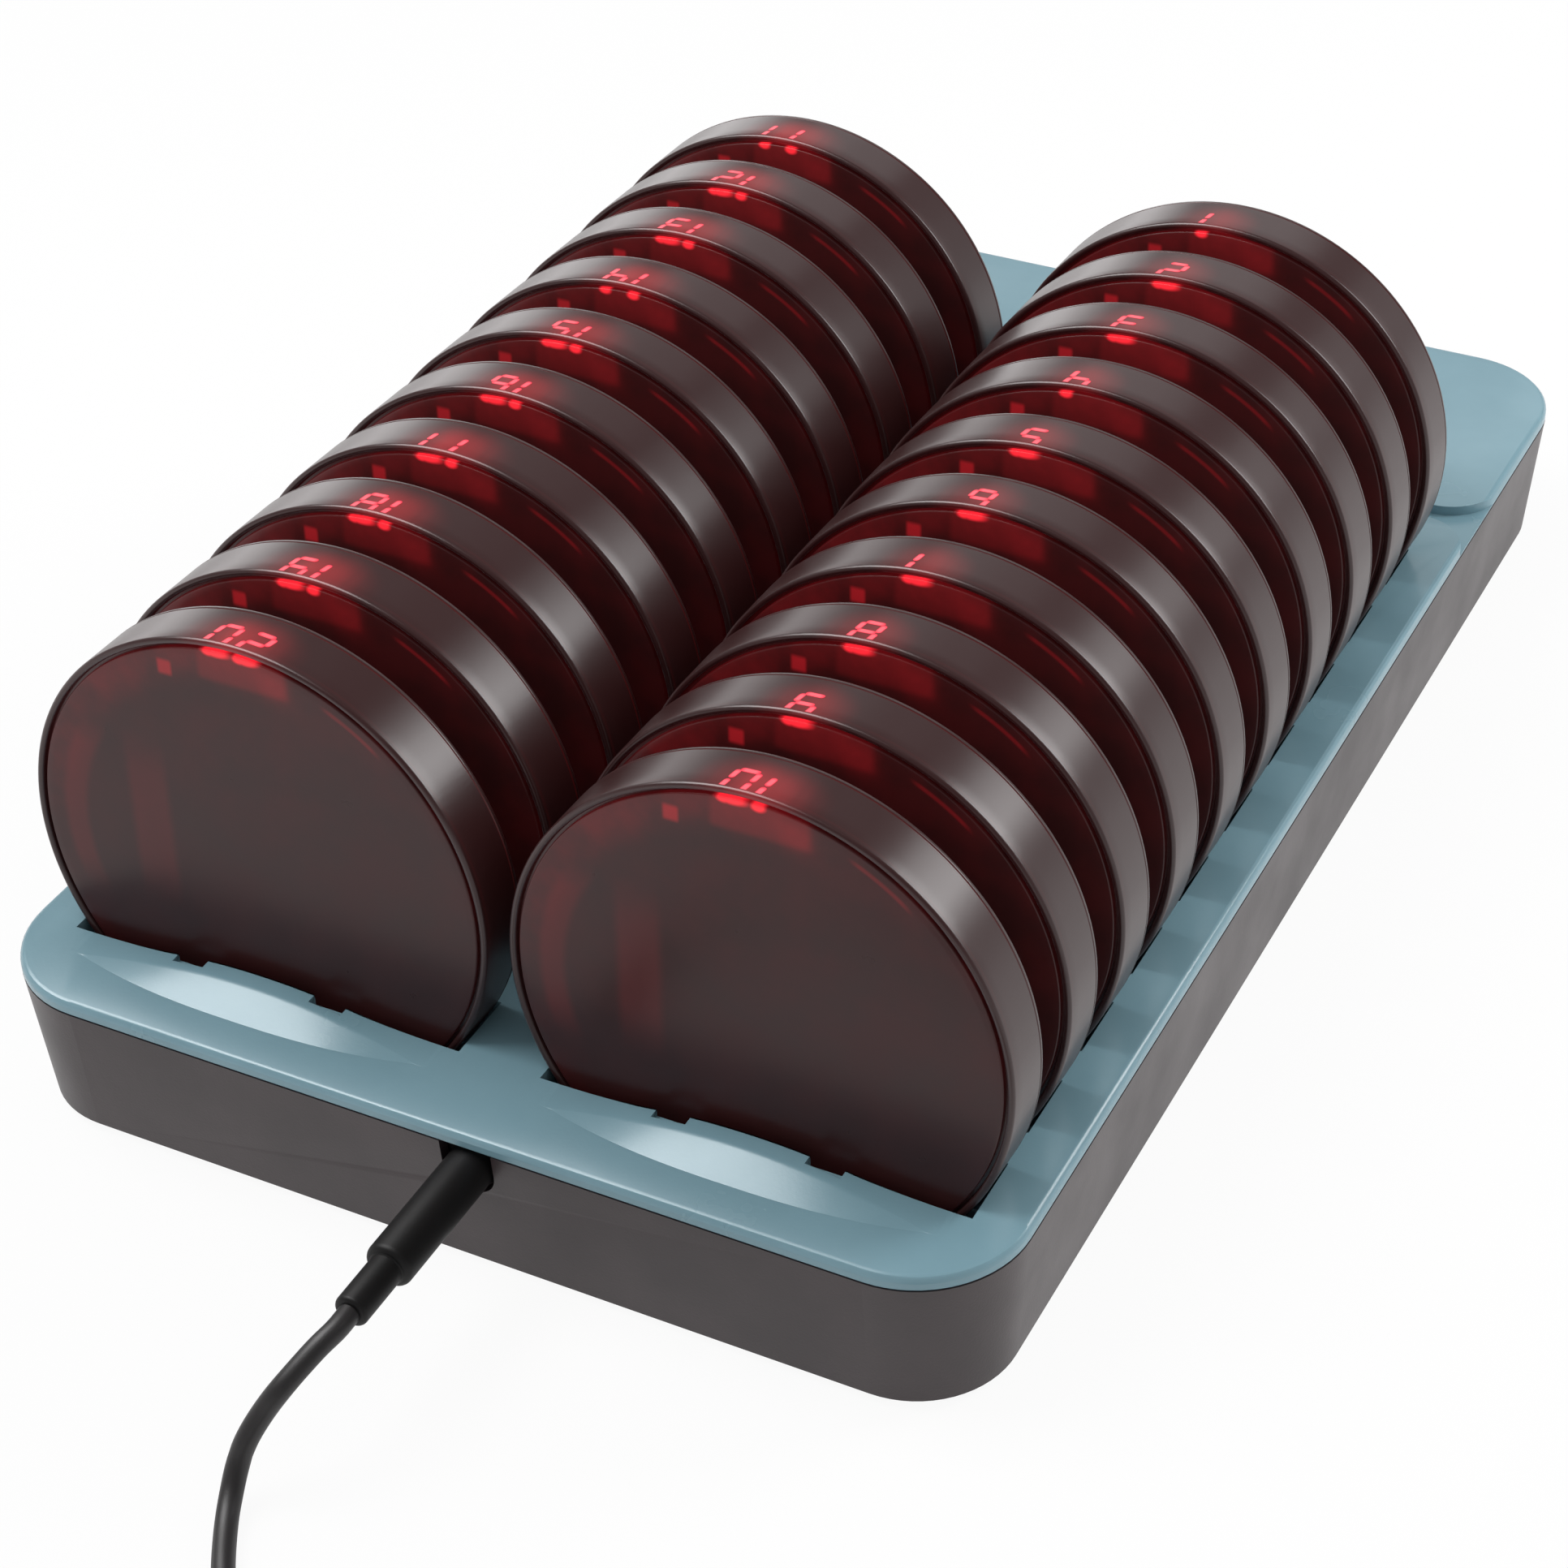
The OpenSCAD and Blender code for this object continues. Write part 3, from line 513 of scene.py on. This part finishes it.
def cut(piece, cutter):
    """Cuts a closed mesh out of a piece for good, before the easing of its edges."""
    tool = bpy.data.objects.new("cutter", cutter)
    bpy.context.collection.objects.link(tool)
    knife = piece.modifiers.new("cut", "BOOLEAN")
    knife.operation = "DIFFERENCE"
    knife.solver = "EXACT"
    knife.object = tool
    easing = piece.modifiers[0]
    easing.show_viewport = False
    bpy.context.view_layer.update()
    graph = bpy.context.evaluated_depsgraph_get()
    made = bpy.data.meshes.new_from_object(piece.evaluated_get(graph))
    piece.modifiers.remove(knife)
    easing.show_viewport = True
    piece.data = made
    bpy.data.objects.remove(tool)


def slot_cutter(radius, y_from, y_to, top):
    """A U-shaped block along Y about the plug's axis: a half round below and straight sides up to
    the given height."""
    a = np.linspace(math.pi, 2 * math.pi, 49)
    under = np.stack([jack_x + radius * np.cos(a), jack_z + radius * np.sin(a)], axis=-1)
    outline = np.vstack([[jack_x - radius, top], under, [jack_x + radius, top]])
    m = len(outline)
    points = np.vstack([np.insert(outline, 1, y, axis=1) for y in (y_from, y_to)]) * MM
    j = np.arange(m)
    sides = np.stack([j, (j + 1) % m, m + (j + 1) % m, m + j], axis=-1).tolist()
    mesh = bpy.data.meshes.new("slot_cutter")
    mesh.from_pydata(points.tolist(), [], sides + [j.tolist(), (m + j)[::-1].tolist()])
    shape = bmesh.new()
    shape.from_mesh(mesh)
    bmesh.ops.recalc_face_normals(shape, faces=shape.faces)
    shape.to_mesh(mesh)
    shape.free()
    return mesh


tray_low, tray_high = (np.array(corner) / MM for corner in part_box("bottom_tray"))
recess_r = grip_r + 0.75
tray = eased_copy("tray_shell", "bottom_tray")
cut(tray, slot_cutter(recess_r, tray_low[1] - 1, grip_front + 0.15, tray_high[2] + 2))
tray.data.shade_smooth()
tray.data.set_sharp_from_angle(angle=math.radians(corner_above))
tray.data.materials.append(moulded("tray_plastic", colour(60, 49, 51), colour(53, 44, 46), 0.38,
                                   grain_mm=0.5, spread=0.05))
rubber = moulded("black_rubber", colour(30, 29, 29), colour(24, 23, 23), 0.75, grain_mm=0.4)
refinish(rubber, "rubber_feet")

# ---- Inside the base ------------------------------------------------------------------------------
# Two charging boards with gold spring contacts, the power socket and its insulated leads, and the
# zinc-plated screws that hold the boards and the cover.

gold_tint = (0.86, 0.62, 0.24, 1)
solder_mask = moulded("solder_mask", colour(20, 84, 48), colour(14, 66, 38), 0.3, grain_mm=1.2,
                      cloud_mm=8)
gold = moulded("gold_plate", gold_tint, (0.74, 0.52, 0.2, 1), 0.25, grain_depth=0.003, cloud_mm=2,
               metallic=1.0)
zinc = moulded("zinc_plate", (0.56, 0.56, 0.58, 1), (0.48, 0.48, 0.5, 1), 0.34, grain_depth=0.006,
               cloud_mm=3, metallic=1.0)
red_wire = moulded("wire_insulation", colour(150, 22, 20), colour(120, 16, 15), 0.4)
refinish(solder_mask, "charge_boards")
refinish(gold, "spring_contacts")
refinish(soft_black, "power_jack")
refinish(red_wire, "jack_leads")
refinish(zinc, "case_screws")

# ---- Top cover ------------------------------------------------------------------------------------
# The deck of the base, moulded in blue-green satin plastic, with a slot for each pager. Its lips are
# taken off here and follow as pieces of their own.


def level_off(piece, height):
    """Cuts away what stands above a height, in mm, and closes the holes left there with flat faces."""
    shape = bmesh.new()
    shape.from_mesh(piece.data)
    everything = shape.verts[:] + shape.edges[:] + shape.faces[:]
    bmesh.ops.bisect_plane(shape, geom=everything, plane_co=(0, 0, height * MM), plane_no=(0, 0, 1),
                           dist=1e-6)
    above = [face for face in shape.faces if face.calc_center_median().z > height * MM + 2e-6]
    bmesh.ops.delete(shape, geom=above, context="FACES")
    rims = [edge for edge in shape.edges if edge.is_boundary]
    bmesh.ops.holes_fill(shape, edges=rims, sides=0)
    bmesh.ops.recalc_face_normals(shape, faces=shape.faces)
    shape.to_mesh(piece.data)
    shape.free()


deck_z = 34.4
cover_finish = moulded("cover_plastic", colour(124, 158, 170), colour(118, 152, 164), 0.25, grain_mm=0.6,
                       grain_depth=0.012, spread=0.03)
cover = eased_copy("deck_cover", "top_cover")
level_off(cover, deck_z)
cover.data.shade_smooth()
cover.data.set_sharp_from_angle(angle=math.radians(corner_above))
cover.data.materials.append(cover_finish)

# ---- Lips of the cover ----------------------------------------------------------------------------
# In front of each column the deck rises in an arched lip, with a flat crest, two notches at its back
# and a slope to the front whose foot bows out. Its cross-section is carried from end to end.

column_x = 51.8
lip_y = -150.93
lip_h, lip_half = 3.0, 40.0
crest_depth, foot_depth, tip_depth = 3.9, 10.7, 6.5
slope_half = 37.5
notch_x, notch_half, notch_depth = 15.4, 3.5, 1.9
lip_round = 0.45
lip_root = 0.5
lip_steps = 121
thinnest = 0.02


def lip_rings(middle_x):
    """Sections of a lip from end to end. The height is one round crown that runs over into a hollow
    at both ends. The slope narrows to both ends: slowly at its foot, by the power 2.5 of the way to
    the end, and only near the ends at the crest, by the power 4."""
    across = np.concatenate([
        np.linspace(-lip_half, lip_half, lip_steps),
        *[s * notch_x + notch_half * np.array([-1, -1, 1, 1]) for s in (-1, 1)]])
    inside = np.abs(np.abs(across[:lip_steps]) - notch_x) < notch_half
    notched = np.concatenate([inside, [0, 1, 1, 0], [0, 1, 1, 0]])
    order = np.lexsort((np.where(across < np.sign(across) * notch_x, notched, -notched), across))
    across, notched = across[order], notched[order]
    bend = (lip_half**2 + lip_h**2) / (4 * lip_h)
    far = np.abs(across)
    crown = lip_h - bend + np.sqrt(bend**2 - np.minimum(far, lip_half / 2)**2)
    hollow = bend - np.sqrt(bend**2 - (lip_half - far)**2)
    height = np.where(far < lip_half / 2, crown, hollow)
    way = np.minimum(far / slope_half, 1)
    crest = crest_depth + (tip_depth - crest_depth) * way**4
    foot = np.maximum(foot_depth + (tip_depth - foot_depth) * way**2.5, crest + thinnest)
    soft = lip_round * np.clip(height / 1.2, 0, 1)
    back = notch_depth * notched
    ledge = height * (1 - notched) + thinnest * notched
    zero = np.zeros_like(across)
    section = [(zero, zero - lip_root), (zero, ledge), (-back, ledge), (-back, height - soft)]
    for a in np.radians([30, 60, 90]):
        section.append((-back - soft * (1 - math.cos(a)), height - soft * (1 - math.sin(a))))
    slope = np.hypot(foot - crest, height) + 1e-6
    on_top, on_slope = -crest + 1.3 * soft, 1.3 * soft / slope
    for t in np.linspace(0, 1, 6):
        y = (1 - t)**2 * on_top - 2 * t * (1 - t) * crest + t**2 * (-crest - (foot - crest) * on_slope)
        z = (1 - t)**2 * height + 2 * t * (1 - t) * height + t**2 * height * (1 - on_slope)
        section.append((y, z))
    section += [(-foot, zero), (-foot, zero - lip_root)]
    rings = np.stack([np.stack([across + middle_x, lip_y + y, deck_z + z], axis=-1) for y, z in section],
                     axis=1)
    ends = rings[[0, -1]].mean(axis=1, keepdims=True).repeat(rings.shape[1], axis=1)
    return np.vstack([ends[:1], rings, ends[1:]])


for name, middle_x in (("left_lip", -column_x), ("right_lip", column_x)):
    lip = grid_mesh(name, lip_rings(middle_x), body="charging_base")
    lip.data.materials.append(cover_finish)

# ---- Pagers ---------------------------------------------------------------------------------------
# Twenty round coaster pagers in smoky dark red plastic with a flat foot. Each is a rim shell with a
# round nose at its front edge, and a front cover set into it behind a narrow groove.

pager_r, pager_t = 49.4, 12.8
flat_low = 37.91
pitch = 24.2
front_y = -147.9
centre_z = 59.94
lean = math.radians(2.3)
disc_steps = 168
corner_power = 60.0
pager_rows = 10


def disc_outline(inset):
    """Outline of a disc with a flat foot, inset by the given mm. In each direction from the middle it
    reaches to the nearer of the arc and the foot's line, with a small round where they meet."""
    turn = np.linspace(0, 2 * math.pi, disc_steps, endpoint=False)
    arc = pager_r - inset
    down = np.maximum(np.cos(turn), 1e-3)
    foot = (flat_low - inset) / down
    reach = (arc**-corner_power + foot**-corner_power) ** (-1 / corner_power)
    return reach[:, None] * np.stack([np.sin(turn), -np.cos(turn)], axis=-1)


def disc_rings(profile):
    """Rings of a disc-shaped piece in its own frame: for each (inset, share, y) of the profile the
    outline at that inset, drawn in to that share of itself, at that depth."""
    rings = []
    for inset, share, y in profile:
        edge = disc_outline(inset) * share
        rings.append(np.stack([edge[:, 0], np.full(disc_steps, y), edge[:, 1]], axis=-1))
    return np.array(rings)


def nose(inset, y, radius, start, end, steps):
    """Profile points on an arc about a middle at that inset and depth. 0 degrees points outwards and
    90 to the front."""
    a = np.radians(np.linspace(start, end, steps))
    return [(inset - radius * math.cos(k), 1.0, y - radius * math.sin(k)) for k in a]


nose_r = 0.72
joint_y = 11.35
shell_profile = (
    [(2.6, 0.0, 1.4), (2.6, 1.0, 1.4), (2 * nose_r + 0.1, 1.0, 1.4)]
    + nose(nose_r, nose_r, nose_r, 180, 0, 13)
    + [(0, 1.0, 3.5), (0, 1.0, 6.5), (0, 1.0, joint_y - 0.2), (0.18, 1.0, joint_y - 0.05),
       (0.18, 1.0, joint_y + 0.05), (0, 1.0, joint_y + 0.2)]
    + nose(1.0, pager_t - 1.0, 1.0, 0, -90, 6)
    + [(2.5, 1.0, pager_t), (2.5, 0.6, pager_t), (2.5, 0.25, pager_t), (2.5, 0.0, pager_t)])
face_y = 0.3
face_inset = 2.05
face_profile = (
    [(face_inset, 0.0, 1.35), (face_inset, 1.0, 1.35)]
    + nose(face_inset + 0.35, face_y + 0.35, 0.35, 0, 90, 5)
    + [(face_inset + 0.35, share, face_y) for share in (0.97, 0.8, 0.55, 0.3, 0.0)])


def put_in_place(points, column, row):
    """Points of a pager's own frame taken to the base's: leaning back, in its column and row."""
    x, y, z = points[..., 0], points[..., 1], points[..., 2]
    return np.stack([
        x + (column_x if column else -column_x),
        front_y + pitch * row + y * math.cos(lean) + z * math.sin(lean),
        centre_z - y * math.sin(lean) + z * math.cos(lean)], axis=-1)


def keep_own_place(piece, column, row, number):
    """Stores each point's place in the pager's own frame, in mm, for the lit patterns, and how much
    of the front end of its number is lit: for the units and the tens, 0, a half or 1."""
    mesh = piece.data
    points = np.empty(len(mesh.vertices) * 3)
    mesh.vertices.foreach_get("co", points)
    points = points.reshape(-1, 3) / MM
    x = points[:, 0] - (column_x if column else -column_x)
    y = points[:, 1] - front_y - pitch * row
    z = points[:, 2] - centre_z
    own = np.stack([x, y * math.cos(lean) - z * math.sin(lean), y * math.sin(lean) + z * math.cos(lean)],
                   axis=-1)
    tops = [1.0 if "a" in LIT[digit] else 0.5 for digit in reversed(str(number))]
    ends = np.zeros((len(own), 3))
    ends[:, :len(tops)] = tops
    for name, values in (("own_place", own), ("lit_ends", ends)):
        mesh.attributes.new(name, "FLOAT_VECTOR", "POINT").data.foreach_set("vector", values.ravel())


def times(tree, a, b):
    """The product of two values."""
    return maths(tree, "MULTIPLY", a, b)


def plus(tree, a, b):
    """The sum of two values."""
    return maths(tree, "ADD", a, b)


def at_least(tree, value, limit):
    """1 where the value is over the limit, and 0 elsewhere."""
    return maths(tree, "GREATER_THAN", value, limit)


def weighted(tree, total, *parts):
    """The total with each part added at its strength."""
    for value, strength in parts:
        total = plus(tree, total, times(tree, value, strength))
    return total


def soft_range(tree, value, low, high, soft):
    """1 between low and high and 0 outside, with an edge as wide as soft at each end."""
    half = soft / 2
    return times(tree, rise(tree, value, low - half, low + half),
                 rise(tree, value, high - half, high + half, 1.0, 0.0))


def soft_spot(tree, x, z, middle_x, middle_z, half_x, half_z, soft):
    """1 inside an upright ellipse and 0 outside, with a soft edge as a share of its size."""
    across = times(tree, maths(tree, "SUBTRACT", x, middle_x), 1 / half_x)
    along = times(tree, maths(tree, "SUBTRACT", z, middle_z), 1 / half_z)
    far = maths(tree, "SQRT", plus(tree, times(tree, across, across), times(tree, along, along)))
    return rise(tree, far, 1 - soft, 1 + soft, 1.0, 0.0)


def smoky_plastic(name, lit, ior, grain):
    """Smoky dark red satin plastic. lit draws two strengths from a point's own place: the red light
    that comes through the plastic, painted as emission, and how far the base colour turns red over
    lit places, which is partly the red of the parts seen through and partly painted glow. The grain
    is scaled by the given factors across, along and up the pager, so that it can run in fine
    streaks. Its slow patches make the painted light uneven and vary the gloss."""
    material, tree = empty_material(name)
    own = node_of(tree, "ShaderNodeAttribute", {"attribute_name": "own_place"}).outputs["Vector"]
    ends = node_of(tree, "ShaderNodeAttribute", {"attribute_name": "lit_ends"}).outputs["Vector"]
    streaks = node_of(tree, "ShaderNodeVectorMath", {"operation": "MULTIPLY"}, _0=own, _1=grain)
    texture = node_of(tree, "ShaderNodeGroup", {"node_tree": fine_grain}, Vector=streaks.outputs[0],
                      Grain_Size=0.4, Cloud_Size=14.0)
    cloud = texture.outputs["Cloud"]
    place = node_of(tree, "ShaderNodeSeparateXYZ", Vector=own)
    ends = node_of(tree, "ShaderNodeSeparateXYZ", Vector=ends)
    uneven = rise(tree, cloud, 0.32, 0.68, 0.45, 1.4)
    # glow is painted red light, set as emission. behind turns the base colour redder over lit places: partly
    # the red of the parts seen through, partly painted glow.
    glow, behind = lit(tree, place.outputs["X"], place.outputs["Y"], place.outputs["Z"],
                       ends.outputs["X"], ends.outputs["Y"], uneven)
    red = node_of(tree, "ShaderNodeCombineColor", Red=glow, Green=times(tree, glow, 0.02),
                  Blue=times(tree, glow, 0.035))
    bump = node_of(tree, "ShaderNodeBump", Height=texture.outputs["Height"], Strength=1.0,
                   Distance=0.008 * MM)
    shader = node_of(tree, "ShaderNodeBsdfPrincipled", IOR=ior,
                     Base_Color=between(tree, behind, smoke, smoke_over_parts_and_glow),
                     Roughness=gloss_about(tree, cloud, 0.3, 0.03), Normal=bump.outputs["Normal"],
                     Emission_Color=red.outputs["Color"], Emission_Strength=1.0)
    node_of(tree, "ShaderNodeOutputMaterial", Surface=shader.outputs[0])
    return material


def face_light(tree, x, y, z, units, tens, uneven):
    """Painted red light behind the front cover: a veil under the upper edge that is strongest to the
    left, the display's body with a brighter end, a lamp to its left, a faint glow over the lamp bar
    and the left edge, a short streak near the edge to the right, and the bright digits bent round
    the front edge. The display, its bright end, the lamp bar and the left edge also turn the base
    colour redder: partly the red of the parts seen through, partly painted glow. The veil and the
    general light are mottled by the uneven factor."""
    out = node_of(tree, "ShaderNodeCombineXYZ", X=x, Y=z)
    far = node_of(tree, "ShaderNodeVectorMath", {"operation": "LENGTH"}, _0=out.outputs[0]).outputs["Value"]
    general = rise(tree, z, -30, 46, 0.003, 0.012)
    veil = times(tree, rise(tree, far, 37.5, 45.5, 0.0, 0.042),
                 times(tree, rise(tree, x, 8, 16, 1.0, 0.06), rise(tree, z, -10, 36, 0.12, 1.0)))
    window = times(tree, soft_range(tree, x, -7.7, 11.1, 1.8), soft_range(tree, z, 40.8, 49, 1.8))
    hot_end = soft_spot(tree, x, z, 8.6, 42.8, 2.6, 2.2, 0.8)
    lamp = times(tree, soft_range(tree, x, -16.8, -13.9, 0.9), soft_range(tree, z, 39.2, 42.2, 1.2))
    bar = times(tree, soft_range(tree, x, -27, -18.4, 2.5), soft_range(tree, z, -9, 19, 14))
    edge = times(tree, soft_range(tree, far, 38, 43, 2.2),
                 times(tree, soft_range(tree, x, -48, -31, 2.0), soft_range(tree, z, -12, 22, 10)))
    streak = times(tree, soft_range(tree, far, 44.9, 45.7, 0.6), soft_range(tree, x, 19, 29, 3))
    streak = times(tree, streak, at_least(tree, z, 0))
    blobs = 0.0
    for end, limit, middle_x, middle_z, half_x, half_z in (
            (units, 0.7, -3.6, 47.0, 2.7, 0.95), (units, 0.2, -5.2, 46.9, 1.3, 0.9),
            (tens, 0.7, 3.0, 46.9, 2.3, 0.9), (tens, 0.2, 1.4, 46.9, 1.3, 0.9)):
        spot = soft_spot(tree, x, z, middle_x, middle_z, half_x, half_z, 0.5)
        blobs = maths(tree, "MAXIMUM", blobs, times(tree, at_least(tree, end, limit), spot))
    glow = weighted(tree, times(tree, plus(tree, general, veil), uneven), (window, 0.018),
                    (hot_end, 0.02), (lamp, 0.2), (bar, 0.008), (edge, 0.008), (streak, 0.07), (blobs, 1.0))
    return glow, weighted(tree, 0.0, (window, 0.3), (hot_end, 0.2), (bar, 0.15), (edge, 0.17))


def rim_light(tree, x, y, z, units, tens, uneven):
    """Painted red light in the rim: a soft glow about the digits, made uneven by that factor, a faint
    glow that grows towards the top, a line in the groove inside the front edge, a thin line in the
    joint near the rear edge, and the light that falls on the rear face from the pager behind. The
    glow about the digits also turns the base colour redder, as painted glow."""
    on_top = soft_range(tree, z, 30, 60, 4)
    about_units, about_tens = (times(tree, soft_spot(tree, x, y, middle_x, 3.4, 6.0, 4.8, 0.8), on_top)
                               for middle_x in (units_x, tens_x))
    about_tens = times(tree, at_least(tree, tens, 0.2), about_tens)
    joint = times(tree, soft_range(tree, y, joint_y - 0.16, joint_y + 0.16, 0.1),
                  rise(tree, z, -10, 40, 0.0, 0.05))
    rear = times(tree, soft_range(tree, y, 12.5, 14, 0.3), rise(tree, z, 5, 48, 0.0, 0.012))
    groove = times(tree, soft_range(tree, y, 1.1, 1.6, 0.2), rise(tree, z, -20, 30, 0.0, 0.01))
    glow = plus(tree, plus(tree, rise(tree, z, -10, 45, 0.0005, 0.006), rear), plus(tree, groove, joint))
    near = times(tree, plus(tree, about_units, about_tens), uneven)
    return weighted(tree, glow, (near, 0.085)), times(tree, near, 0.25)


units_x, tens_x = -3.3, 3.5
# The second colour is the red that the base colour turns to over lit places: partly the red of the parts
# seen through the plastic, partly painted glow.
smoke, smoke_over_parts_and_glow = (0.032, 0.0125, 0.0125, 1), (0.21, 0.02, 0.022, 1)
smoky_face = smoky_plastic("smoky_front_plastic", face_light, 1.4, (1, 1, 1))
smoky_rim = smoky_plastic("smoky_rim_plastic", rim_light, 1.53, (1, 0.08, 1))

# ---- Lit numbers ----------------------------------------------------------------------------------
# The lit numbers stand on the rim just behind the front edge and are read from behind. A digit is up
# to seven bars with round ends, bent to the rim. Bar "a" falls on the front edge, in the face's light.

digit_half_w, digit_half_h = 2.0, 3.15
digit_y = 3.0
digit_slant = 0.14
bar_half_w = 0.6
bar_short = 0.16
rim_lift = 0.03
SEGMENTS = {
    "a": ((-1, 1), (1, 1)), "b": ((1, 1), (1, 0)), "c": ((1, 0), (1, -1)), "d": ((1, -1), (-1, -1)),
    "e": ((-1, -1), (-1, 0)), "f": ((-1, 0), (-1, 1)), "g": ((-1, 0), (1, 0))}
LIT = {"0": "abcdef", "1": "bc", "2": "abged", "3": "abgcd", "4": "fgbc", "5": "afgcd", "6": "afgecd",
       "7": "abc", "8": "abcdefg", "9": "abcdfg"}


def digit_bar(start, end):
    """Rings of one bar in the digit's plane: a stadium about the line between two corners, closed on
    its middle. Each point is (right, up) as the reader sees it."""
    start, end = np.asarray(start, float), np.asarray(end, float)
    along = (end - start) / np.linalg.norm(end - start)
    start, end = start + along * bar_short, end - along * bar_short
    beside = np.array([-along[1], along[0]])
    a = np.linspace(-math.pi / 2, math.pi / 2, 7)
    cap = np.stack([np.cos(a), np.sin(a)], axis=-1) * bar_half_w
    tip = end + cap[:, :1] * along + cap[:, 1:] * beside - along * bar_half_w
    butt = start - cap[:, :1] * along - cap[:, 1:] * beside + along * bar_half_w
    edge = np.vstack([tip, butt])
    middle = (start + end) / 2
    return [middle + (edge - middle) * share for share in (0.0, 0.55, 1.0)]


def number_mesh(name, text, column, row, body):
    """The bars of a pager's number, each bent onto the rim and put in the pager's place."""
    points, faces, core = [], [], []
    for digit, middle_x in zip(reversed(text), (units_x, tens_x)):
        for letter in LIT[digit]:
            if letter == "a":
                continue
            corners = [np.array(c) * (digit_half_w, digit_half_h) for c in SEGMENTS[letter]]
            for share, ring in zip((1.0, 1.0, 0.0), digit_bar(*corners)):
                y = digit_y - ring[:, 1]
                arc = middle_x - ring[:, 0] + digit_slant * (y - digit_y)
                y = np.maximum(y, nose_r + 0.05)
                angle = arc / pager_r
                points.append(np.stack([(pager_r + rim_lift) * np.sin(angle), y,
                                        (pager_r + rim_lift) * np.cos(angle)], axis=-1))
                core.append(np.full(len(ring), share))
            m = len(ring)
            first = sum(len(ring) for ring in points) - 3 * m
            j = np.arange(m)
            k = (j + 1) % m
            for inner in (first, first + m):
                faces.append(np.stack([inner + j, inner + k, inner + m + k, inner + m + j], axis=-1))
    mesh = bpy.data.meshes.new(name)
    placed = put_in_place(np.vstack(points), column, row) * MM
    mesh.from_pydata(placed.tolist(), [], np.vstack(faces).tolist())
    mesh.attributes.new("core", "FLOAT", "POINT").data.foreach_set("value", np.concatenate(core))
    return piece_of(name, mesh, body)


def lit_red():
    """Light of the digits: pinkish red in the middle of a bar and deep red at its edge."""
    material, tree = empty_material("lit_digits")
    core = node_of(tree, "ShaderNodeAttribute", {"attribute_name": "core"})
    red = between(tree, core.outputs["Fac"], colour(250, 36, 66), colour(255, 108, 122))
    shader = node_of(tree, "ShaderNodeBsdfPrincipled", Base_Color=(0.05, 0.004, 0.006, 1), Roughness=0.35,
                     Emission_Color=red, Emission_Strength=1.0)
    node_of(tree, "ShaderNodeOutputMaterial", Surface=shader.outputs[0])
    return material


digit_light = lit_red()
for column in (0, 1):
    for row in range(pager_rows):
        number = (20 if column == 0 else 10) - row
        label = f"pager_{number:02d}"
        shell_node = face_node = f"{label}_case"
        if number == 10:
            shell_node, face_node = "pager_10_rear_shell", "pager_10_front_cover"
        for part, profile, finish, node in (("rim_shell", shell_profile, smoky_rim, shell_node),
                                            ("face", face_profile, smoky_face, face_node)):
            piece = grid_mesh(f"{label}_{part}", put_in_place(disc_rings(profile), column, row),
                              body=label)
            keep_own_place(piece, column, row, number)
            piece.data.materials.append(finish)
            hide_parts(node)
        digits = number_mesh(f"{label}_number", str(number), column, row, label)
        digits.data.materials.append(digit_light)

# ---- Inside the pagers ----------------------------------------------------------------------------
# In each pager a printed board carries the lamps, the motor and the display. A battery in its wrap is
# put in with it, and two gold pads show in the foot. Only pager 10 has these as pieces of their own.

pads_below = 25
shrink_wrap = moulded("battery_wrap", colour(150, 156, 166), colour(136, 142, 152), 0.35, cloud_mm=10)
display_red = moulded("display_body", colour(150, 20, 24), colour(120, 14, 18), 0.3)


def board_and_pads():
    """Green board and parts, with gold on the contact pads that show in the foot."""
    material = solder_mask.copy()
    material.name = "board_and_pads"
    tree = material.node_tree
    shader = next(node for node in tree.nodes if node.type == "BSDF_PRINCIPLED")
    green = shader.inputs["Base Color"].links[0].from_socket
    where = node_of(tree, "ShaderNodeTexCoord")
    place = node_of(tree, "ShaderNodeSeparateXYZ", Vector=where.outputs["Object"])
    low = maths(tree, "LESS_THAN", place.outputs["Z"], pads_below * MM)
    tree.links.new(between(tree, low, green, gold_tint), shader.inputs["Base Color"])
    tree.links.new(low, shader.inputs["Metallic"])
    return material


works_finish = board_and_pads()
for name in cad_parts:
    if name.endswith("_works"):
        refinish(works_finish, name)
refinish(solder_mask, "pager_10_circuit_board")
refinish(display_red, "pager_10_display")
refinish(shrink_wrap, "pager_10_battery")
refinish(gold, "pager_10_charge_contacts")
